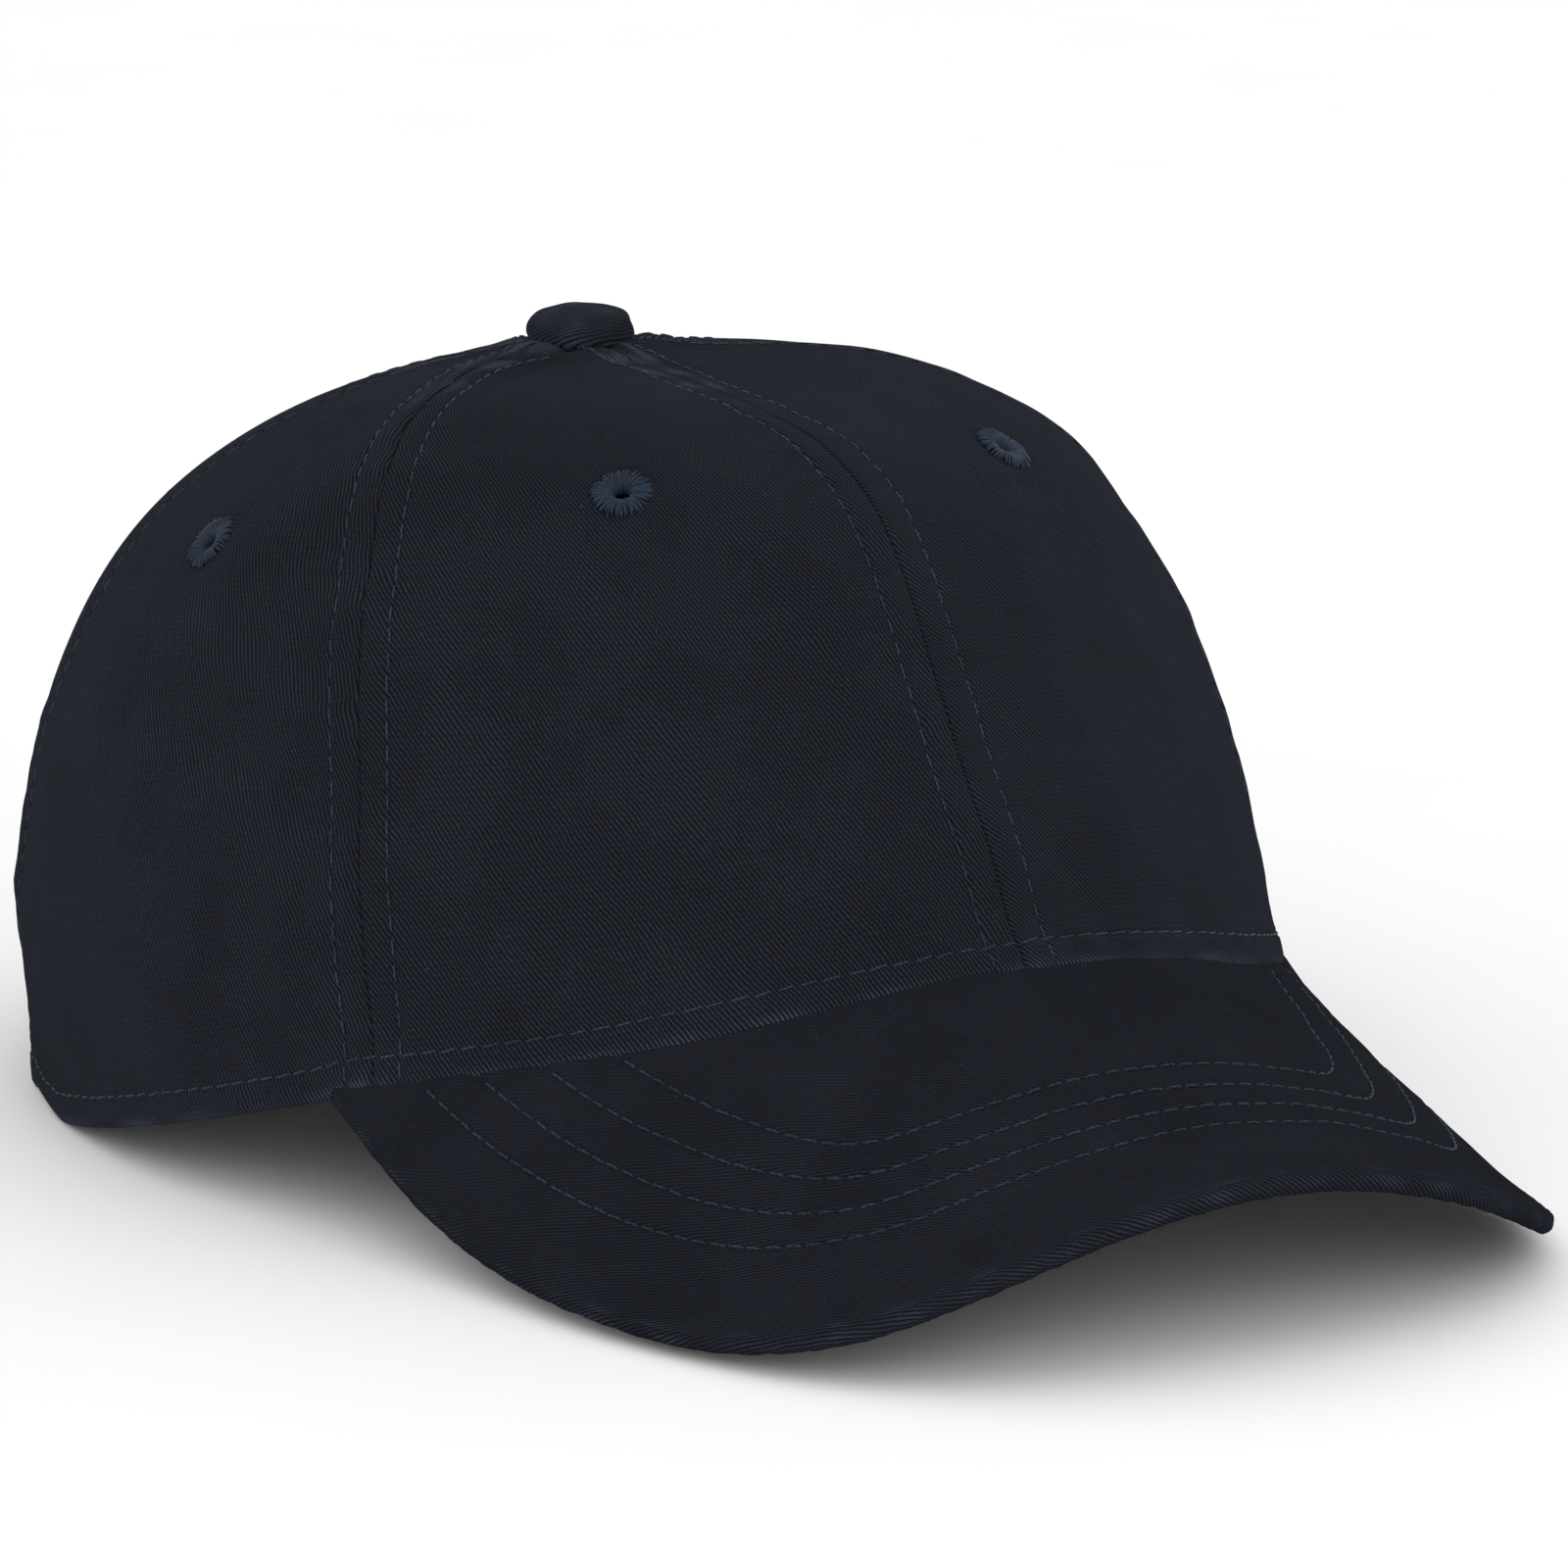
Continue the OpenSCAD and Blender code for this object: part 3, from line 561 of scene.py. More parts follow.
def makeTape(k, name, fromHeight):  # a padded ribbon laid under the seam, close against the cloth
    top = upToTop(seamAngle(k, 0.9), tape["topStop"])
    u = np.linspace(upBy(seamAngle(k, 0.0), fromHeight), top, 90)[:, None]
    v = np.linspace(-1, 1, 17)[None, :]
    t = seamAngle(k, u)
    d = v * tape["width"] / 2
    t = t + d / perDegree(t, u)
    u = u + 0 * d
    height = np.linalg.norm(crownPoint(t, u) - crownPoint(t, 0 * u), axis=-1)
    pad = 0.75 * bell(d, 0, 3.2) - 0.22 * bell(np.abs(d), cap["rowGap"], 0.6)
    pad = pad + 0.06 * ripple(height, d, 5, 400 + k)
    depth = np.maximum(tape["depth"] - 0.25 + pad * 0.55, clothUnder(t, u) + 0.05)
    near = crownPoint(t, u) - crownNormal(t, u) * depth[..., None]
    far = near - crownNormal(t, u) * (tape["thickness"] + np.maximum(pad, -0.1) * 0.45)[..., None]
    uv = np.stack([d + 0 * height, height], -1)
    wear = 0.3 * bell(np.abs(d), tape["width"] / 2, 0.8) + 0 * height
    return shell(name, near, far, uv, wear)


def makeBinding(name):  # a narrow ribbon inside the arched opening, padded along both edges
    radii = np.linspace(cap["openingRadius"] + 0.2, cap["openingRadius"] + 0.4 + tape["bindingWidth"], 9)
    t, u = openingBand(radii, tape["bindingLow"], 60)
    v = np.linspace(0, 1, len(radii))[:, None] + 0 * t
    pad = 0.25 * bell(v, 0.0, 0.25) + 0.25 * bell(v, 1.0, 0.25) - 0.15 * bell(v, 0.8, 0.08)
    near = crownPoint(t, u) - crownNormal(t, u) * (clothUnder(t, u) + 0.05)[..., None]
    far = near - crownNormal(t, u) * (0.6 + pad)[..., None]
    run = np.cumsum(np.linalg.norm(np.diff(near, axis=1, prepend=near[:, :1]), axis=-1), 1)
    uv = np.stack([v * tape["bindingWidth"], run], -1)
    wear = 0.3 * bell(v, 0, 0.15)
    return shell(name, near, far, uv, wear)


def bandDepth(t):  # close under the cloth in front, standing free of the strap at the back
    b = rimPoint(t)
    free = np.hypot(b[..., 0], b[..., 1] - band["backCentre"]) - band["freeRadius"] + 0.2
    near = cap["clothThickness"] + 1.4
    return near + (free - near) * ease(98, 129, np.abs(t))


def bandPoint(t, h, depth):  # a point at a height on the sweatband, or deeper in
    u = upBy(t, h)
    return crownPoint(t, u) - crownNormal(t, u) * (bandDepth(t) + depth)[..., None]


def makeBand(name):  # a strip round the inside, rolled at both edges and a little uneven
    t = np.linspace(-band["end"], band["end"], 380)[None, :]
    v = np.linspace(0, 1, 34)[:, None]
    h = band["lift"] + (band["height"] - band["lift"]) * v + 0 * t
    t = t + 0 * h
    swell = 0.5 * bell(v, 0.02, 0.06) + 0.35 * bell(v, 0.97, 0.05)
    swell = swell + 0.12 * ripple(t * 1.5, h, 14, 500) - 0.25 * bell(v, 0.12, 0.02)
    swell = swell + 0.1 * ripple(t * 1.5, h * 0.2, 5, 501) * bell(v, 0.9, 0.12)
    near = bandPoint(t, h, 0 * t)
    far = bandPoint(t, h, band["thickness"] * 0.7 + np.maximum(swell, -0.2))
    uv = np.stack([t * 1.5, h], -1)
    wear = 0.35 * bell(v, 0, 0.04) + 0.25 * bell(v, 1, 0.03) + 0 * t
    return shell(name, near, far, uv, wear)


def bandStitches(name):  # a row near each edge of the sweatband
    t = np.linspace(1 - band["end"], band["end"] - 1, 1500)
    rows = []
    for i, h in enumerate(band["rowHeights"]):
        p = bandPoint(t, h + 0 * t, band["thickness"] * 0.7 + 0.05 + 0 * t)
        rows.append(stitches(p, -crownNormal(t, upBy(t, h + 0 * t)), 520 + i, pitch=3.0, rise=0.12))
    return sewRows(name, rows)


# the covered button on top
button = {"across": 16.0, "height": 5.7, "thickness": 0.7, "stand": 0.1, "waist": 1.7, "tuck": 30}


def makeButton(name):  # the dome's cloth, outside and inside, joined round its lower edge
    a = np.radians(np.linspace(-button["tuck"], 90, 56))[:, None]
    turn = np.linspace(0, 2 * np.pi, 150, endpoint=False)[None, :]

    def dome(shrink, rough):
        # a flattened dome with rounded shoulders, drawn in below its widest line
        r = (button["across"] / 2 - shrink) * np.cos(a) ** 0.8 + 0 * turn
        waist = button["waist"]
        above = (button["height"] - shrink - waist) * np.maximum(np.sin(a), 0) ** 0.85
        z = waist + above + waist * np.minimum(np.degrees(a) / button["tuck"], 0) + 0 * turn
        x, y = r * np.cos(turn), r * np.sin(turn)
        gathers = np.sin(turn * 17 + 2 * np.sin(turn * 3)) * np.exp(-z / 1.2)
        swell = rough * (0.16 * ripple(x, y + z, 6, 600) + 0.1 * gathers)
        r = r + swell * (r > 0.5)
        z = z + 0.4 * swell + button["stand"]
        return np.stack([r * np.cos(turn), r * np.sin(turn), z], -1) + crownTop
    outer, inner = dome(0, 1), dome(button["thickness"], 0)
    rows, cols = outer.shape[:2]
    measure(np.concatenate([outer, outer[:, :1]], 1))
    quads = gridFaces(rows, cols, roundCols=True)
    n = rows * cols
    low = np.arange(cols)
    walls = np.stack([low, low + n, (low + 1) % cols + n, (low + 1) % cols], -1)
    faces = np.concatenate([quads, quads[:, ::-1] + n, walls])
    p = outer - crownTop
    # ribs run round the front like the rings of a shell
    away = np.hypot(p[..., 0] + 1.2, p[..., 1] - 3.5) + (button["height"] - p[..., 2]) * 0.9
    uv = np.stack([away, np.arctan2(p[..., 1] - 3.5, p[..., 0] + 1.2) * 4], -1)
    wear = np.clip(0.25 + 0.4 * bell(p[..., 2], 1.0, 1.0) + 0.3 * ripple(p[..., 0], p[..., 1], 5, 602), 0, 1)
    verts = np.concatenate([outer.reshape(-1, 3), inner.reshape(-1, 3)])
    bothUv = np.concatenate([uv.reshape(-1, 2)] * 2)
    return addObject(name, verts, faces, bothUv, np.concatenate([wear.ravel(), wear.ravel() * 0]))


# peak: cloth, fold and stitched channels, worked out on the flat pattern
peak = {
    "columns": 330, "rows": 120, "foldRows": 16, "ribTurn": 38.0, "cover": 0.6, "deepest": 0.5,
    "rowShift": 1.6, "rowOpen": 0.26, "rowOut": 8.0, "ends": (4.5, 175.5),
    "dents": (0.3, 60), "dimples": (0.1, 17), "channel": (0.4, 0.5), "pucker": (0.08, 1.8), "puff": 0.12,
}


def peakEnds(columns, inset):  # the crown end and the outer end of each column of the pattern
    j = np.linspace(0, 1, columns)
    first, last = peak["ends"]
    f = first + (last - first) * j
    t0 = -(cap["cornerAngle"] - 1.0) * np.cos(np.radians(180 * j * 0.6 + 36)) / math.cos(math.radians(36))
    x = (cap["rimAcross"] - 1.6) * np.sin(np.radians(t0))
    y = -(cap["rimAlong"] - 1.6) * np.cos(np.radians(t0))
    a = np.stack([peakShape["archRadius"] * np.arcsin(x / peakShape["archRadius"]), peakAlong(x, y)], -1)
    return f, a, outlineIn(f, inset + 0 * f)


def fromEdge(q):  # distance of pattern points from the outline
    f = np.linspace(1, 179, 900)
    line = outline(f)
    return np.stack([np.sqrt(((row[:, None, :] - line[None]) ** 2).sum(-1).min(1)) for row in q])


def rowDepths():  # the rows' even distances from the edge
    return [peakShape["firstRow"] + peakShape["rowStep"] * i for i in range(peakShape["rows"])]


def rowSpread(q):  # 0 in front, 1 at the sides near the crown, where the rows run further apart
    return (1 - ease(0, 45, q[..., 1])) * ease(25, 60, np.abs(q[..., 0]))


def stretched(w):  # on the wearer's left the rows run further across
    return w + peak["rowOut"] * ease(45, 88, w)


def evenDepth(q):  # the depth at which this point would lie if the rows were evenly spaced
    w = np.linspace(-130, 130, 1041)
    q = np.stack([np.interp(q[..., 0], stretched(w), w), q[..., 1]], -1)
    side = rowSpread(q)
    first = peakShape["firstRow"]
    return first + (fromEdge(q) - first + peak["rowShift"] * side) / (1 + peak["rowOpen"] * side)


def rowPath(f, depth):  # the line that lies at one even depth
    d = depth + 0 * f
    for _ in range(8):
        side = rowSpread(outlineIn(f, d))
        first = peakShape["firstRow"]
        d = first + (depth - first) * (1 + peak["rowOpen"] * side) - peak["rowShift"] * side
    q = outlineIn(f, d)
    return np.stack([stretched(q[:, 0]), q[:, 1]], -1)


def peakLift(q, d):
    # sewn channels: a dip under each row, soft swells between, and an easy unevenness over the board
    w, s = q[..., 0], q[..., 1]
    (dent, dentWave), (dimple, dimpleWave) = peak["dents"], peak["dimples"]
    (dip, dipWide), (pucker, puckerWide) = peak["channel"], peak["pucker"]
    lift = dent * ripple(w, s, dentWave, 700) + dimple * ripple(w, s, dimpleWave, 701)
    run = np.arctan2(s + 30, w) * 75
    d = np.where(d > 8, evenDepth(q), d)
    first, last = rowDepths()[0], rowDepths()[-1]
    for i, r in enumerate(rowDepths()):
        wave = ripple(run, d * 0.3, 3.6, 710 + i)
        lift = lift - (dip + 0.07 * wave) * bell(d, r, dipWide) + pucker * wave * bell(d, r, puckerWide)
        lift = lift + 0.1 * ripple(run, d, 11, 720 + i) * bell(d, r + 3.2, 2.2)
    lift = lift + peak["puff"] * ease(first - 3, first, d) * (1 - ease(last, last + 3, d))
    return np.maximum(lift * ease(0.5, 5, d), -peak["deepest"])


def peakPlace(q, depth):  # a pattern point on the bent peak, or below it
    return peakPoint(q[..., 0], q[..., 1]) - peakNormal(q[..., 0], q[..., 1]) * np.asarray(depth)[..., None]


def peakWeave(q):  # the pattern turned to lie along the ribs
    a = math.radians(peak["ribTurn"])
    w, s = q[..., 0] + 0.4 * ripple(q[..., 0], q[..., 1], 40, 730), q[..., 1]
    return np.stack([-w * math.sin(a) + s * math.cos(a), w * math.cos(a) + s * math.sin(a)], -1)


def makePeakTop(name):  # the upper cloth from the crown to the edge, then half a turn round the board's edge
    r = peakShape["thickness"] / 2
    f, a, b = peakEnds(peak["columns"], r)
    v = np.linspace(0, 1, peak["rows"])[:, None, None]
    q = a[None] * (1 - v) + b[None] * v
    d = fromEdge(q)
    lift = peakLift(q, d)
    c = np.radians(np.linspace(90, -90, peak["foldRows"] + 1)[1:])
    fold = np.stack([outlineIn(f, r - r * np.cos(k) + 0 * f) for k in c])
    foldDepth = (r - r * np.sin(c))[:, None] + 0 * f[None]
    rough = 0.09 * ripple(f * 2.2, foldDepth, 5, 740) + 0.06 * ripple(f * 2.2, foldDepth, 2.4, 741)
    outer = np.concatenate([peakPlace(q, -lift), peakPlace(fold, foldDepth)])
    swell = np.concatenate([0 * lift, rough])[..., None]
    core = np.concatenate([peakPlace(q, 3 + 0 * lift), peakPlace(fold * 0.97, np.full_like(foldDepth, r))])
    push = unit(outer - core)
    outer = outer + push * swell
    bend = r - peak["cover"]
    foldIn = np.stack([outlineIn(f, r - bend * np.cos(k) + 0 * f) for k in c])
    inner = np.concatenate([peakPlace(q, np.maximum(peak["cover"] - 0.05, 0.25 - lift)),
                            peakPlace(foldIn, (r - bend * np.sin(c))[:, None] + 0 * f[None])])
    # the weave runs on over the fold
    outwards = (b - outlineIn(f, r + 1 + 0 * f))[None]
    flat = np.concatenate([q, b[None] + outwards * (np.pi / 2 - c)[:, None, None] * r])
    uv = peakWeave(flat)
    over = np.concatenate([0 * d, np.degrees(np.pi / 2 - c)[:, None] + 0 * f[None]])
    ragged = ripple(np.concatenate([0 * d + f, fold[..., 0] * 0 + f]) * 2.2, over / 40, 7, 742)
    wear = 0.5 * bell(over, 70, 55) * (over > 0) * (0.8 + 0.35 * ragged)
    wear = wear + np.concatenate([0.45 * bell(d, r, 1.6) * (0.8 + 0.4 * ragged[:len(d)]), 0 * rough])
    even = evenDepth(q)
    ridge = sum(bell(even, x - 1.3, 0.8) + bell(even, x + 1.3, 0.8) for x in rowDepths())
    wear = wear + np.concatenate([0.22 * ridge * (0.7 + 0.4 * ripple(q[..., 0], q[..., 1], 6, 743)), 0 * rough])
    return shell(name, outer, inner, uv, np.clip(wear, 0, 1))


def makePeakUnder(name):  # the lower cloth, on the board's far side
    r = peakShape["thickness"] / 2
    a, b = peakEnds(240, r + 0.3)[1:]
    v = np.linspace(0, 1, 90)[:, None, None]
    q = a[None] * (1 - v) + b[None] * v
    d = fromEdge(q)
    lift = peakLift(q, d) * 0.7
    t = peakShape["thickness"]
    outer = peakPlace(q, t + lift - 0.05)
    inner = peakPlace(q, np.minimum(t - peak["cover"], t + lift - 0.3))
    uv = peakWeave(q) * np.array([-1.0, 1.0])
    wear = np.clip(0.2 * bell(d, r, 2.0) + 0 * d, 0, 1)
    return shell(name, outer, inner, uv, wear)


def makePeakRow(i, name):  # one row through the peak: stitches on its top and on its underside
    d = rowDepths()[i]
    f = np.linspace(2, 178, 1600)
    q = rowPath(f, d)
    p = peakPoint(q[:, 0], q[:, 1])
    across, along = p[:, 0] / (cap["rimAcross"] + 0.2), p[:, 1] / (cap["rimAlong"] + 0.2)
    clear = (across ** 2 + along ** 2 > 1) & (p[:, 1] < 0)
    q = q[clear]
    n = peakNormal(q[:, 0], q[:, 1])
    lift = peakLift(q[None], fromEdge(q[None]))[0]
    top = peakPlace(q, -lift)
    under = peakPlace(q, peakShape["thickness"] + 0.7 * lift - 0.05)
    rows = [stitches(top, n, 750 + i, pitch=3.0, gap=0.28, rise=0.2),
            stitches(under, -n, 760 + i, pitch=3.0, gap=0.4)]
    return sewRows(name, rows, radius=thread["peakRadius"])


# the strap across the back opening, its tab and the clip buckle
strap = {"inner": 71.86, "outer": 73.26, "low": 3.0, "width": 18.0, "half": 49.0, "centreBack": 29.538,
         "tabWidth": 16.0, "tabThickness": 0.8, "tabEnd": 45.0, "barAngle": 25.13, "tabInner": 68.06,
         "tabBack": 31.0, "tabSewn": (26.3, 29.5), "tabRows": (30.2, 43.6), "rowIn": 2.2, "rowStop": 17}


def onArc(radius, angle, z):  # a point at a radius from the back's centre, angle towards the wearer's right
    a = np.radians(angle)
    x, y, z = np.broadcast_arrays(-radius * np.sin(a), strap["centreBack"] + radius * np.cos(a), z)
    return np.stack([x, y, z], -1)


def strapWeave(run, z):  # the ribs lie at 60 degrees to the strap
    return np.stack(np.broadcast_arrays(run * 0.5 + z * 0.866, -run * 0.866 + z * 0.5), -1)


def makeStrap(name):  # a flat ribbon with round edges, bent to the back's curve and closed at both ends
    a = np.linspace(-strap["half"], strap["half"], 420)[None, :]
    section = np.linspace(0, 2 * np.pi, 60, endpoint=False)[:, None]
    end = np.clip(1 - np.abs(a / strap["half"]) ** 160, 0.02, 1)
    c, s = np.cos(section), np.sin(section)
    middle, halfThick = (strap["inner"] + strap["outer"]) / 2, (strap["outer"] - strap["inner"]) / 2
    halfWide = strap["width"] / 2
    z = np.sign(s) * np.abs(s) ** 0.22 * halfWide * (0.985 + 0.015 * end)
    depth = halfThick * np.sign(c) * np.abs(c) ** 0.35 * end
    row = bell(np.abs(z), halfWide - strap["rowIn"], 0.4)
    run = a * 1.27
    depth = depth * (1 - 0.22 * row) + 0.06 * ripple(run, z, 9, 800) * np.sign(c) * end
    p = onArc(middle + depth, a, strap["low"] + halfWide + z)
    n = section.shape[0]
    faces = gridFaces(n, a.shape[1], roundRows=True)
    wear = np.clip(0.75 * bell(np.abs(z), halfWide, 0.7) + 0 * a, 0, 1)
    if np.sum(np.cross(p[0, 1] - p[0, 0], p[1, 0] - p[0, 0]) * (p[0, 0] - p[n // 2, 0])) < 0:
        faces = faces[:, ::-1]
    caps = [np.arange(n)[::-1] * a.shape[1], np.arange(n) * a.shape[1] + a.shape[1] - 1]
    obj = addObject(name, p, faces, strapWeave(run, z), wear)
    closeEnds(obj, caps)
    return obj


def closeEnds(obj, rings):  # fills each ring of corners with one face that looks away from the piece
    import bmesh
    bm = bmesh.new()
    bm.from_mesh(obj.data)
    bm.verts.ensure_lookup_table()
    for ring in rings:
        bm.faces.new([bm.verts[int(i)] for i in ring])
    bmesh.ops.recalc_face_normals(bm, faces=bm.faces[:])
    bm.to_mesh(obj.data)
    bm.free()


def strapRows(name):  # a row near each edge, outside and inside
    rows = []
    # the inner rows stop short of the part that slides behind the sweatband
    faces = ((strap["outer"] - 0.12, 1, strap["half"] - 1),
             (strap["inner"] + 0.12, -1, strap["half"] - strap["rowStop"]))
    for i, z in enumerate((strap["rowIn"], strap["width"] - strap["rowIn"])):
        for radius, way, reach in faces:
            a = np.linspace(-reach, reach, 1500)
            p = onArc(radius, a, strap["low"] + z)
            n = onArc(1.0, a, 0.0) - onArc(0.0, a, 0.0)
            rows.append(stitches(p, n * way, 810 + i, pitch=3.0, rise=0.16))
    return sewRows(name, rows)


def makeTab(name):
    # a ribbon that comes from under the panel, turns round the buckle's bar and is sewn down on itself
    t = strap["tabThickness"]
    near, far = strap["inner"] - 0.5 - t / 2, strap["tabInner"]
    bar = strap["barAngle"]
    turn = np.linspace(0, 180, 24)[1:-1]
    mid, bend = (near + far) / 2, (near - far) / 2
    out = np.linspace(strap["tabEnd"], bar, 60)
    back = np.linspace(bar, strap["tabBack"], 30)
    sewnDown = far + (near - t * 0.95 - far) * ease(*strap["tabSewn"], back)
    radius = np.concatenate([near + 0 * out, mid + bend * np.cos(np.radians(turn)), sewnDown])
    angle = np.concatenate([out, bar - np.degrees(bend / 70 * np.sin(np.radians(turn))), back])
    path = onArc(radius, angle, 0.0)
    ahead = unit(np.gradient(path, axis=0))
    side = np.cross(ahead, np.array([0, 0, 1.0]))
    z = np.linspace(-1, 1, 26)
    z = np.sign(z) * np.abs(z) ** 0.8 * strap["tabWidth"] / 2 + strap["low"] + strap["width"] / 2
    edge = np.abs(z - strap["low"] - strap["width"] / 2) / (strap["tabWidth"] / 2)
    thick = t / 2 * (1 - 0.5 * edge ** 12)
    rise = np.array([0, 0, 1.0]) * z[None, :, None]
    a = path[:, None] + side[:, None] * thick[None, :, None] + rise
    b = path[:, None] - side[:, None] * thick[None, :, None] + rise
    run = runAlong(path)[:, None] + 0 * z[None]
    wear = np.clip(0.7 * edge[None] ** 14 + 0 * run, 0, 1)
    return shell(name, a, b, strapWeave(run, z[None]), wear)


def tabRows(name):  # two short rows across the tab
    z = np.linspace(strap["low"] + 2.0, strap["low"] + strap["width"] - 2.0, 300)
    rows = []
    for i, angle in enumerate(strap["tabRows"]):
        radius = strap["inner"] - 0.5 - strap["tabThickness"] * (1.9 if i == 0 else 1)
        p = onArc(radius, angle + 0 * z, z)
        n = -(onArc(1.0, angle, 0.0) - onArc(0.0, angle, 0.0)) + 0 * p
        rows.append(stitches(p, n, 830 + i, pitch=2.4, rise=0.14))
    return sewRows(name, rows)


metalEdge = {"width": 0.00025, "pinWidth": 0.00012, "segments": 3}


def rounded(node, width):  # the node's own shape with its corners eased
    import bmesh
    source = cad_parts[node]
    mesh = source.data.copy()
    mesh.materials.clear()
    obj = bpy.data.objects.new(node + "_eased", mesh)
    bpy.context.scene.collection.objects.link(obj)
    bm = bmesh.new()
    bm.from_mesh(mesh)
    bmesh.ops.remove_doubles(bm, verts=bm.verts[:], dist=1e-6)
    bmesh.ops.dissolve_limit(bm, angle_limit=math.radians(2), verts=bm.verts[:], edges=bm.edges[:])
    bm.to_mesh(mesh)
    bm.free()
    mesh.polygons.foreach_set("use_smooth", np.ones(len(mesh.polygons), bool))
    bevel = obj.modifiers.new("eased edges", "BEVEL")
    bevel.width = width
    bevel.segments = metalEdge["segments"]
    bevel.limit_method = "ANGLE"
    bevel.angle_limit = math.radians(35)
    bevel.harden_normals = True
    return obj


# shader maths: a wrapped socket that can be added, scaled and compared
class Value:
    def __init__(self, maker, socket):
        self.maker, self.socket = maker, socket

    def math(self, operation, *others):
        return self.maker.add("ShaderNodeMath", {"operation": operation}, dict(enumerate((self,) + others)))

    def __add__(self, other):
        return self.math("ADD", other)

    def __sub__(self, other):
        return self.math("SUBTRACT", other)

    def __mul__(self, other):
        return self.math("MULTIPLY", other)

    def __truediv__(self, other):
        return self.math("DIVIDE", other)

    def __pow__(self, other):
        return self.math("POWER", other)

    def __rsub__(self, other):
        return self.maker.add("ShaderNodeMath", {"operation": "SUBTRACT"}, {0: other, 1: self})

    __radd__ = __add__
    __rmul__ = __mul__

    def sin(self):
        return self.math("SINE")

    def floor(self):
        return self.math("FLOOR")

    def between(self, low, high):  # 0 below low, 1 above high
        return self.maker.add("ShaderNodeMapRange", {"interpolation_type": "SMOOTHSTEP"},
                              {"Value": self, "From Min": low, "From Max": high})


class Maker:  # one material and its nodes
    def __init__(self, name):
        self.material = bpy.data.materials.new(name)
        self.material.use_nodes = True
        self.tree = self.material.node_tree
        self.tree.nodes.clear()
        self.output = self.tree.nodes.new("ShaderNodeOutputMaterial")

    def add(self, kind, settings=None, inputs=None, out=0):
        node = self.tree.nodes.new(kind)
        for key, value in (settings or {}).items():
            if key == "stops":
                ramp = node.color_ramp.elements
                while len(ramp) < len(value):
                    ramp.new(0.5)
                for element, (place, colour) in zip(ramp, value):
                    element.position, element.color = place, colour
            else:
                setattr(node, key, value)
        for key, value in (inputs or {}).items():
            if isinstance(value, Value):
                self.tree.links.new(value.socket, node.inputs[key])
            else:
                node.inputs[key].default_value = value
        return Value(self, node.outputs[out])

    def weave(self):  # the piece's own flat cloth, in millimetres
        return self.add("ShaderNodeUVMap", {"uv_map": "weave"})

    def wear(self):
        return self.add("ShaderNodeAttribute", {"attribute_name": "wear"}, out="Fac")

    def place(self):  # millimetres over the object
        here = self.add("ShaderNodeTexCoord", out="Object")
        return self.add("ShaderNodeVectorMath", {"operation": "SCALE"}, {0: here, "Scale": 1000.0})

    def split(self, vector):
        parts = self.add("ShaderNodeSeparateXYZ", inputs={0: vector})
        node = parts.socket.node
        return [Value(self, node.outputs[i]) for i in range(3)]

    def join(self, x, y, z=0.0):
        return self.add("ShaderNodeCombineXYZ", inputs={0: x, 1: y, 2: z})

    def noise(self, vector, scale, detail=2.0, rough=0.5):
        return self.add("ShaderNodeTexNoise", {"noise_dimensions": "3D"},
                        {"Vector": vector, "Scale": scale, "Detail": detail, "Roughness": rough})

    def mix(self, amount, a, b, kind="MIX"):
        node = self.add("ShaderNodeMix", {"data_type": "RGBA", "blend_type": kind}).socket.node
        for socket, value in ((node.inputs[0], amount), (node.inputs[6], a), (node.inputs[7], b)):
            if isinstance(value, Value):
                self.tree.links.new(value.socket, socket)
            else:
                socket.default_value = value
        return Value(self, node.outputs[2])

    def surface(self, colour, roughness, height=None, distance=0.0003, strength=1.0, **fixed):
        shader = self.tree.nodes.new("ShaderNodeBsdfPrincipled")
        for key, value in (("Base Color", colour), ("Roughness", roughness)):
            if isinstance(value, Value):
                self.tree.links.new(value.socket, shader.inputs[key])
            else:
                shader.inputs[key].default_value = value
        for key, value in fixed.items():
            shader.inputs[key.replace("_", " ")].default_value = value
        if height is not None:
            bump = self.add("ShaderNodeBump",
                            inputs={"Height": height, "Distance": distance, "Strength": strength})
            self.tree.links.new(bump.socket, shader.inputs["Normal"])
        self.tree.links.new(shader.outputs[0], self.output.inputs[0])
        return self.material


twill = {
    "ribPitch": 0.62, "floatPitch": 0.95,
    # the two rib colours: painted shade between the ribs and painted light on their crests
    "valley": (0.0046, 0.0051, 0.0070, 1), "ridge": (0.0268, 0.0288, 0.0386, 1),
    "blue": (0.012, 0.019, 0.034, 1), "worn": (0.066, 0.078, 0.108, 1), "lint": (0.15, 0.15, 0.17, 1),
    "relief": 0.00014,
}


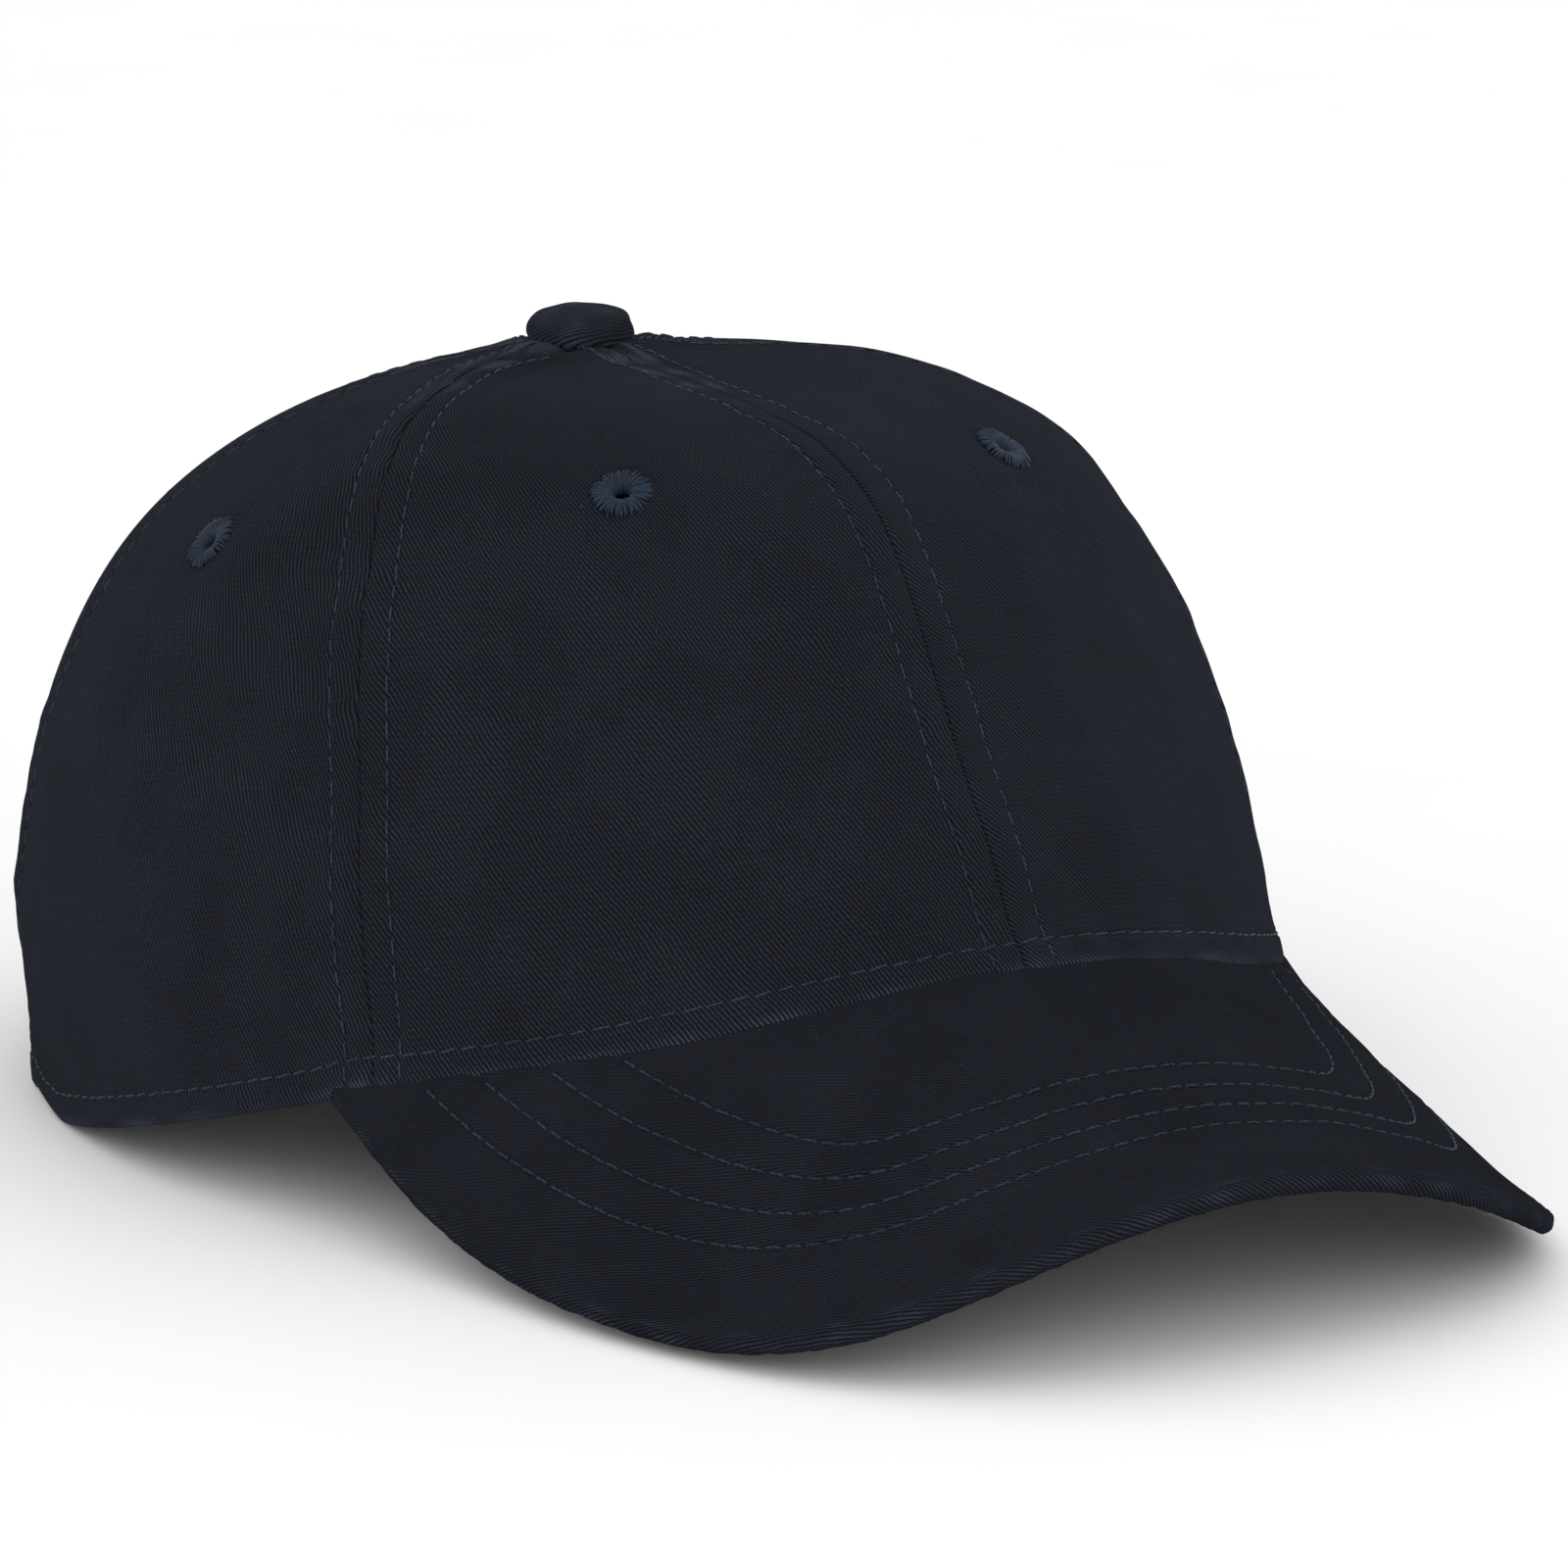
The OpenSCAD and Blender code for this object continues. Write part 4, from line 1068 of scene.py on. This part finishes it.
def twillMaterial(name, ribs=1.0, fadeNear=None, paintedLightLevel=1.0, sheen=0.03):
    # ribs: a sine across the weave, broken into floats along it, painted lighter on their crests and darker
    # between them as painted light and shade, over slow patches of dye and sparse lint
    m = Maker(name)
    x, y = m.split(m.weave())[:2]
    place = m.place()
    drift = m.noise(place, 0.16, 2.0) - 0.5
    wobble = m.noise(place, 1.3, 1.0) - 0.5
    across = x + drift * 0.9 + wobble * 0.16
    column = across / twill["ribPitch"]
    rib = (column * (2 * math.pi)).sin() * 0.5 + 0.5
    step = column.floor()
    along = y / twill["floatPitch"] + step * 0.37 + wobble * 0.6
    floats = (along * (2 * math.pi)).sin() * 0.5 + 0.5
    yarn = m.noise(m.join(across * 3.2, y * 1.3, step * 7.3), 1.0, 2.0)
    fuzz = m.noise(place, 3.4, 3.0, 0.65)
    grit = m.noise(place, 7.5, 2.0, 0.7)
    patch = m.noise(place, 0.06, 3.0, 0.55)
    speck = m.noise(place, 1.7, 2.0, 0.7)
    worn = m.wear()
    clear = ribs
    if fadeNear:
        # the ribs are rubbed flat close to the crown
        px, py = m.split(place)[:2]
        reach = ((px * px) / (cap["rimAcross"] ** 2) + (py * py) / (cap["rimAlong"] ** 2)) ** 0.5
        clear = reach.between(1.04, fadeNear) * (ribs - 0.25) + 0.25
    # the ribs' tone: painted shade between the ribs and painted light on their crests, mixed with the yarn's
    # own uneven tone
    tone = (rib * (0.21 + 0.21 * floats + 0.41 * yarn) - 0.245) * clear + 0.42
    # the whole tone is scaled here as painted light and shade: raised for the button's copy, lowered for the
    # peak's
    tone = tone * paintedLightLevel * (0.88 + 0.24 * patch.between(0.25, 0.75)) * (0.45 + 0.65 * fuzz + 0.55 * grit)
    colour = m.mix(tone.between(0.0, 1.05), twill["valley"], twill["ridge"])
    bluish = m.noise(place, 0.5, 3.0, 0.6).between(0.48, 0.75) * rib
    colour = m.mix(bluish * 0.6, colour, twill["blue"])
    colour = m.mix((worn * (0.2 + 0.85 * rib * (0.2 + fuzz))).between(0.08, 1.2), colour, twill["worn"])
    colour = m.mix(speck.between(0.72, 0.78) * 0.35, colour, twill["lint"])
    height = rib * (0.75 + 0.25 * floats) * clear + yarn * 0.3 + fuzz * 0.4 + grit * 0.25
    return m.surface(colour, 0.9 - 0.05 * rib, height, twill["relief"], 1.0, Sheen_Weight=sheen,
                     Sheen_Roughness=0.35, Sheen_Tint=(0.7, 0.8, 1.0, 1), Specular_IOR_Level=0.0)


threadColour = {"dark": (0.010, 0.014, 0.022, 1), "light": (0.026, 0.039, 0.061, 1)}


def threadMaterial(name, dark, light, turns=1.1):
    # plies twisted round each stitch
    m = Maker(name)
    x, y = m.split(m.weave())[:2]
    place = m.place()
    ply = ((x * turns + y) * (2 * math.pi)).sin() * 0.5 + 0.5
    patch = m.noise(place, 0.12, 2.0)
    fuzz = m.noise(place, 4.0, 2.0)
    colour = m.mix((ply * 0.7 + fuzz * 0.4) * (0.55 + 0.9 * patch.between(0.3, 0.7)), dark, light)
    return m.surface(colour, 0.72, ply + fuzz * 0.4, 0.00005, 0.7,
                     Sheen_Weight=0.04, Sheen_Roughness=0.5, Specular_IOR_Level=0.15)


def bandMaterial(name, dark, light, pitch=0.55):
    # a close plain weave: threads both ways, a little patchy
    m = Maker(name)
    x, y = m.split(m.weave())[:2]
    place = m.place()
    warp = (x * (2 * math.pi / pitch)).sin() * 0.5 + 0.5
    weft = (y * (2 * math.pi / pitch)).sin() * 0.5 + 0.5
    fuzz = m.noise(place, 2.6, 3.0, 0.6)
    patch = m.noise(place, 0.09, 2.0)
    tone = (warp * 0.5 + weft * 0.5) * (0.6 + 0.6 * fuzz) * (0.7 + 0.6 * patch)
    colour = m.mix(tone, dark, light)
    colour = m.mix(m.wear() * 0.3 * fuzz, colour, tuple(min(1, c * 1.8 + 0.02) for c in light[:3]) + (1,))
    return m.surface(colour, 0.88, warp + weft + fuzz, 0.00008, 0.8,
                     Sheen_Weight=0.05, Sheen_Roughness=0.5, Specular_IOR_Level=0.12)


def boardMaterial(name):  # pale pressed board, faintly grained
    m = Maker(name)
    place = m.place()
    grain = m.noise(place, 1.2, 4.0, 0.6)
    colour = m.mix(grain, (0.72, 0.71, 0.68, 1), (0.86, 0.85, 0.83, 1))
    return m.surface(colour, 0.55 + 0.2 * grain, grain, 0.00008, 0.6)


def metalMaterial(name, low, high, roughness):
    # brushed and a little handled: fine lines, duller patches
    m = Maker(name)
    place = m.place()
    x, y, z = m.split(place)
    lines = m.noise(m.join(x * 0.25, y * 0.25, z * 9.0), 1.0, 2.0)
    dull = m.noise(place, 0.35, 3.0, 0.6)
    colour = m.mix(dull * 0.6 + lines * 0.4, low, high)
    return m.surface(colour, roughness + 0.16 * dull + 0.08 * lines, lines, 0.00002, 0.5, Metallic=1.0)


def fit(obj, material, body, slot, *nodes):  # gives a piece its material and body, in place of its nodes
    obj.data.materials.clear()
    obj.data.materials.append(material)
    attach(obj, body)
    if nodes:
        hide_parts(*nodes)
    return obj


# put the cap together
clothTwill = twillMaterial("navy twill")
# the button's and the peak's copies of the same navy twill: the button's painted lighter and the peak's painted
# darker, as painted light and shade
buttonTwillPaintedLighter = twillMaterial("navy twill, button", ribs=0.55, paintedLightLevel=1.2)
peakTwillPaintedDarker = twillMaterial("navy twill, peak", ribs=0.8, fadeNear=1.35, paintedLightLevel=0.9, sheen=0.01)
underTwill = twillMaterial("navy twill, peak underside", ribs=0.9)
rowThread = threadMaterial("pale blue thread", threadColour["dark"], threadColour["light"])
peakThread = threadMaterial("blue thread, peak", (0.006, 0.010, 0.017, 1), (0.021, 0.033, 0.054, 1), 0.9)
eyeletThread = threadMaterial("pale blue eyelet thread", (0.007, 0.012, 0.021, 1),
                              (0.022, 0.037, 0.065, 1), 0.5)
tapeCloth = bandMaterial("seam tape", (0.005, 0.006, 0.010, 1), (0.03, 0.033, 0.048, 1))
bandCloth = bandMaterial("sweatband twill", (0.004, 0.005, 0.009, 1), (0.026, 0.029, 0.044, 1), 0.6)
board = boardMaterial("peak board")
shellMetal = metalMaterial("button shell", (0.42, 0.42, 0.43, 1), (0.62, 0.62, 0.63, 1), 0.34)
buckleMetal = metalMaterial("antique brass", (0.20, 0.145, 0.075, 1), (0.44, 0.33, 0.19, 1), 0.3)

panelNames = {0: "front_l", -1: "front_r", 1: "side_l", -2: "side_r", 2: "back_l", -3: "back_r"}
for k, side in panelNames.items():
    obj = fit(makePanel(k, "cloth_" + side), clothTwill, "crown", "cloth", "panel_" + side)
    fit(makeEyelet(k, "satin_eyelet_" + side), eyeletThread, "crown", "thread", "eyelet_" + side)
print("crown panels and eyelets made")

seams = {"front": 0, "side_l": 1, "side_r": -1, "rear_l": 2, "rear_r": -2, "back": 3}
for name, k in seams.items():
    low = cap["openingRadius"] + 8 if k == 3 else thread["edgeFromHem"]
    fit(sewRows("stitches_" + name, seamRows(k, low)), rowThread, "crown", "thread", "seam_stitch_" + name)
    tapeObj = makeTape(k, "seam_tape_" + name, cap["openingRadius"] + 9 if k == 3 else 1.5)
    fit(tapeObj, tapeCloth, "crown", "tape", "tape_" + name)
fit(sewRows("stitches_hem", hemRows()), rowThread, "crown", "thread", "hem_stitch")
fit(makeBinding("bound_opening"), tapeCloth, "crown", "tape", "opening_binding")
bandObj = fit(makeBand("sweatband_cloth"), bandCloth, "crown", "sweatband", "sweatband")
fit(bandStitches("sweatband_stitches"), rowThread, "crown", "thread")
print("stitches, tapes and sweatband made")

buttonObj = fit(makeButton("button_cloth"), buttonTwillPaintedLighter, "crown", "cloth", "button_cover")
topObj = fit(makePeakTop("peak_cloth"), peakTwillPaintedDarker, "crown", "cloth", "peak_top_cover")
underObj = fit(makePeakUnder("peak_lining"), underTwill, "crown", "cloth", "peak_under_cover")
for i in range(peakShape["rows"]):
    fit(makePeakRow(i, "peak_row_%d" % (i + 1)), peakThread, "crown", "thread", "peak_stitch_%d" % (i + 1))
print("button and peak made")

strapObj = fit(makeStrap("strap_cloth"), clothTwill, "strap", "cloth", "back_strap")
fit(strapRows("strap_stitches"), rowThread, "strap", "thread")
tabObj = fit(makeTab("buckle_tab_cloth"), clothTwill, "crown", "cloth", "buckle_tab")
fit(tabRows("buckle_tab_stitches"), rowThread, "crown", "thread")
for node, body in (("buckle_frame", "crown"), ("buckle_pin", "crown"), ("buckle_lever", "lever")):
    width = metalEdge["pinWidth" if node == "buckle_pin" else "width"]
    fit(rounded(node, width), buckleMetal, body, "buckle_metal", node)
for node, finish in (("peak_board", board), ("button_shell", shellMetal), ("button_rivet", shellMetal)):
    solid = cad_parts[node]
    solid.data.materials.clear()
    solid.data.materials.append(finish)
print("strap, buckle and inner pieces made")

# the floor, the light and the camera
studio = {"floor": 3.0, "worldLight": 1.05, "keyPower": 9.0, "keySize": 1.4, "keyPlace": (-0.8, -1.5, 0.45)}
viewpoint = {"azimuth": -30.5, "elevation": 12.65, "distance": 1480.0, "lens": 231.3, "right": 19.0, "up": 46.6}


def makeFloor():  # a plain pale square just under the cap
    v = np.linspace(-0.5, 0.5, 9) * studio["floor"] * 1000
    x, y = np.meshgrid(v, v)
    obj = addObject("floor", np.stack([x, y, 0 * x - 0.05], -1), gridFaces(9, 9), smooth=False)
    m = Maker("pale floor")
    grain = m.noise(m.place(), 0.02, 2.0)
    obj.data.materials.append(m.surface(m.mix(grain, (0.92, 0.92, 0.92, 1), (0.95, 0.95, 0.95, 1)), 0.9))


def makeLights():  # an even white surround and one large soft light
    world = bpy.data.worlds.new("studio")
    bpy.context.scene.world = world
    world.use_nodes = True
    back = world.node_tree.nodes["Background"]
    back.inputs[0].default_value = (1, 1, 1, 1)
    back.inputs[1].default_value = studio["worldLight"]
    light = bpy.data.lights.new("soft key", "AREA")
    light.shape = "SQUARE"
    light.size = studio["keySize"]
    light.energy = studio["keyPower"]
    obj = bpy.data.objects.new("soft key", light)
    bpy.context.scene.collection.objects.link(obj)
    obj.location = studio["keyPlace"]
    obj.rotation_euler = lookFrom(studio["keyPlace"], (0, 0, 0.05))


def lookFrom(place, target):  # the turn that points -Z from a place to the target
    from mathutils import Vector
    return (Vector(target) - Vector(place)).to_track_quat("-Z", "Y").to_euler()


def makeCamera():  # at a distance from the target, round by the azimuth and up by the elevation
    a, e = math.radians(viewpoint["azimuth"]), math.radians(viewpoint["elevation"])
    right = np.array([math.cos(a), math.sin(a), 0])
    towards = np.array([math.sin(a) * math.cos(e), -math.cos(a) * math.cos(e), math.sin(e)])
    target = right * viewpoint["right"] + np.array([0, 0, viewpoint["up"]])
    place = (target + towards * viewpoint["distance"]) * mm
    camera = bpy.data.cameras.new("camera")
    camera.lens = viewpoint["lens"]
    camera.sensor_width = 36
    camera.clip_start, camera.clip_end = 0.1, 20
    obj = bpy.data.objects.new("camera", camera)
    bpy.context.scene.collection.objects.link(obj)
    obj.location = place
    obj.rotation_euler = lookFrom(place, target * mm)
    bpy.context.scene.camera = obj


makeFloor()
makeLights()
makeCamera()
bpy.context.scene.view_settings.view_transform = "Standard"
print("floor, light and camera placed")
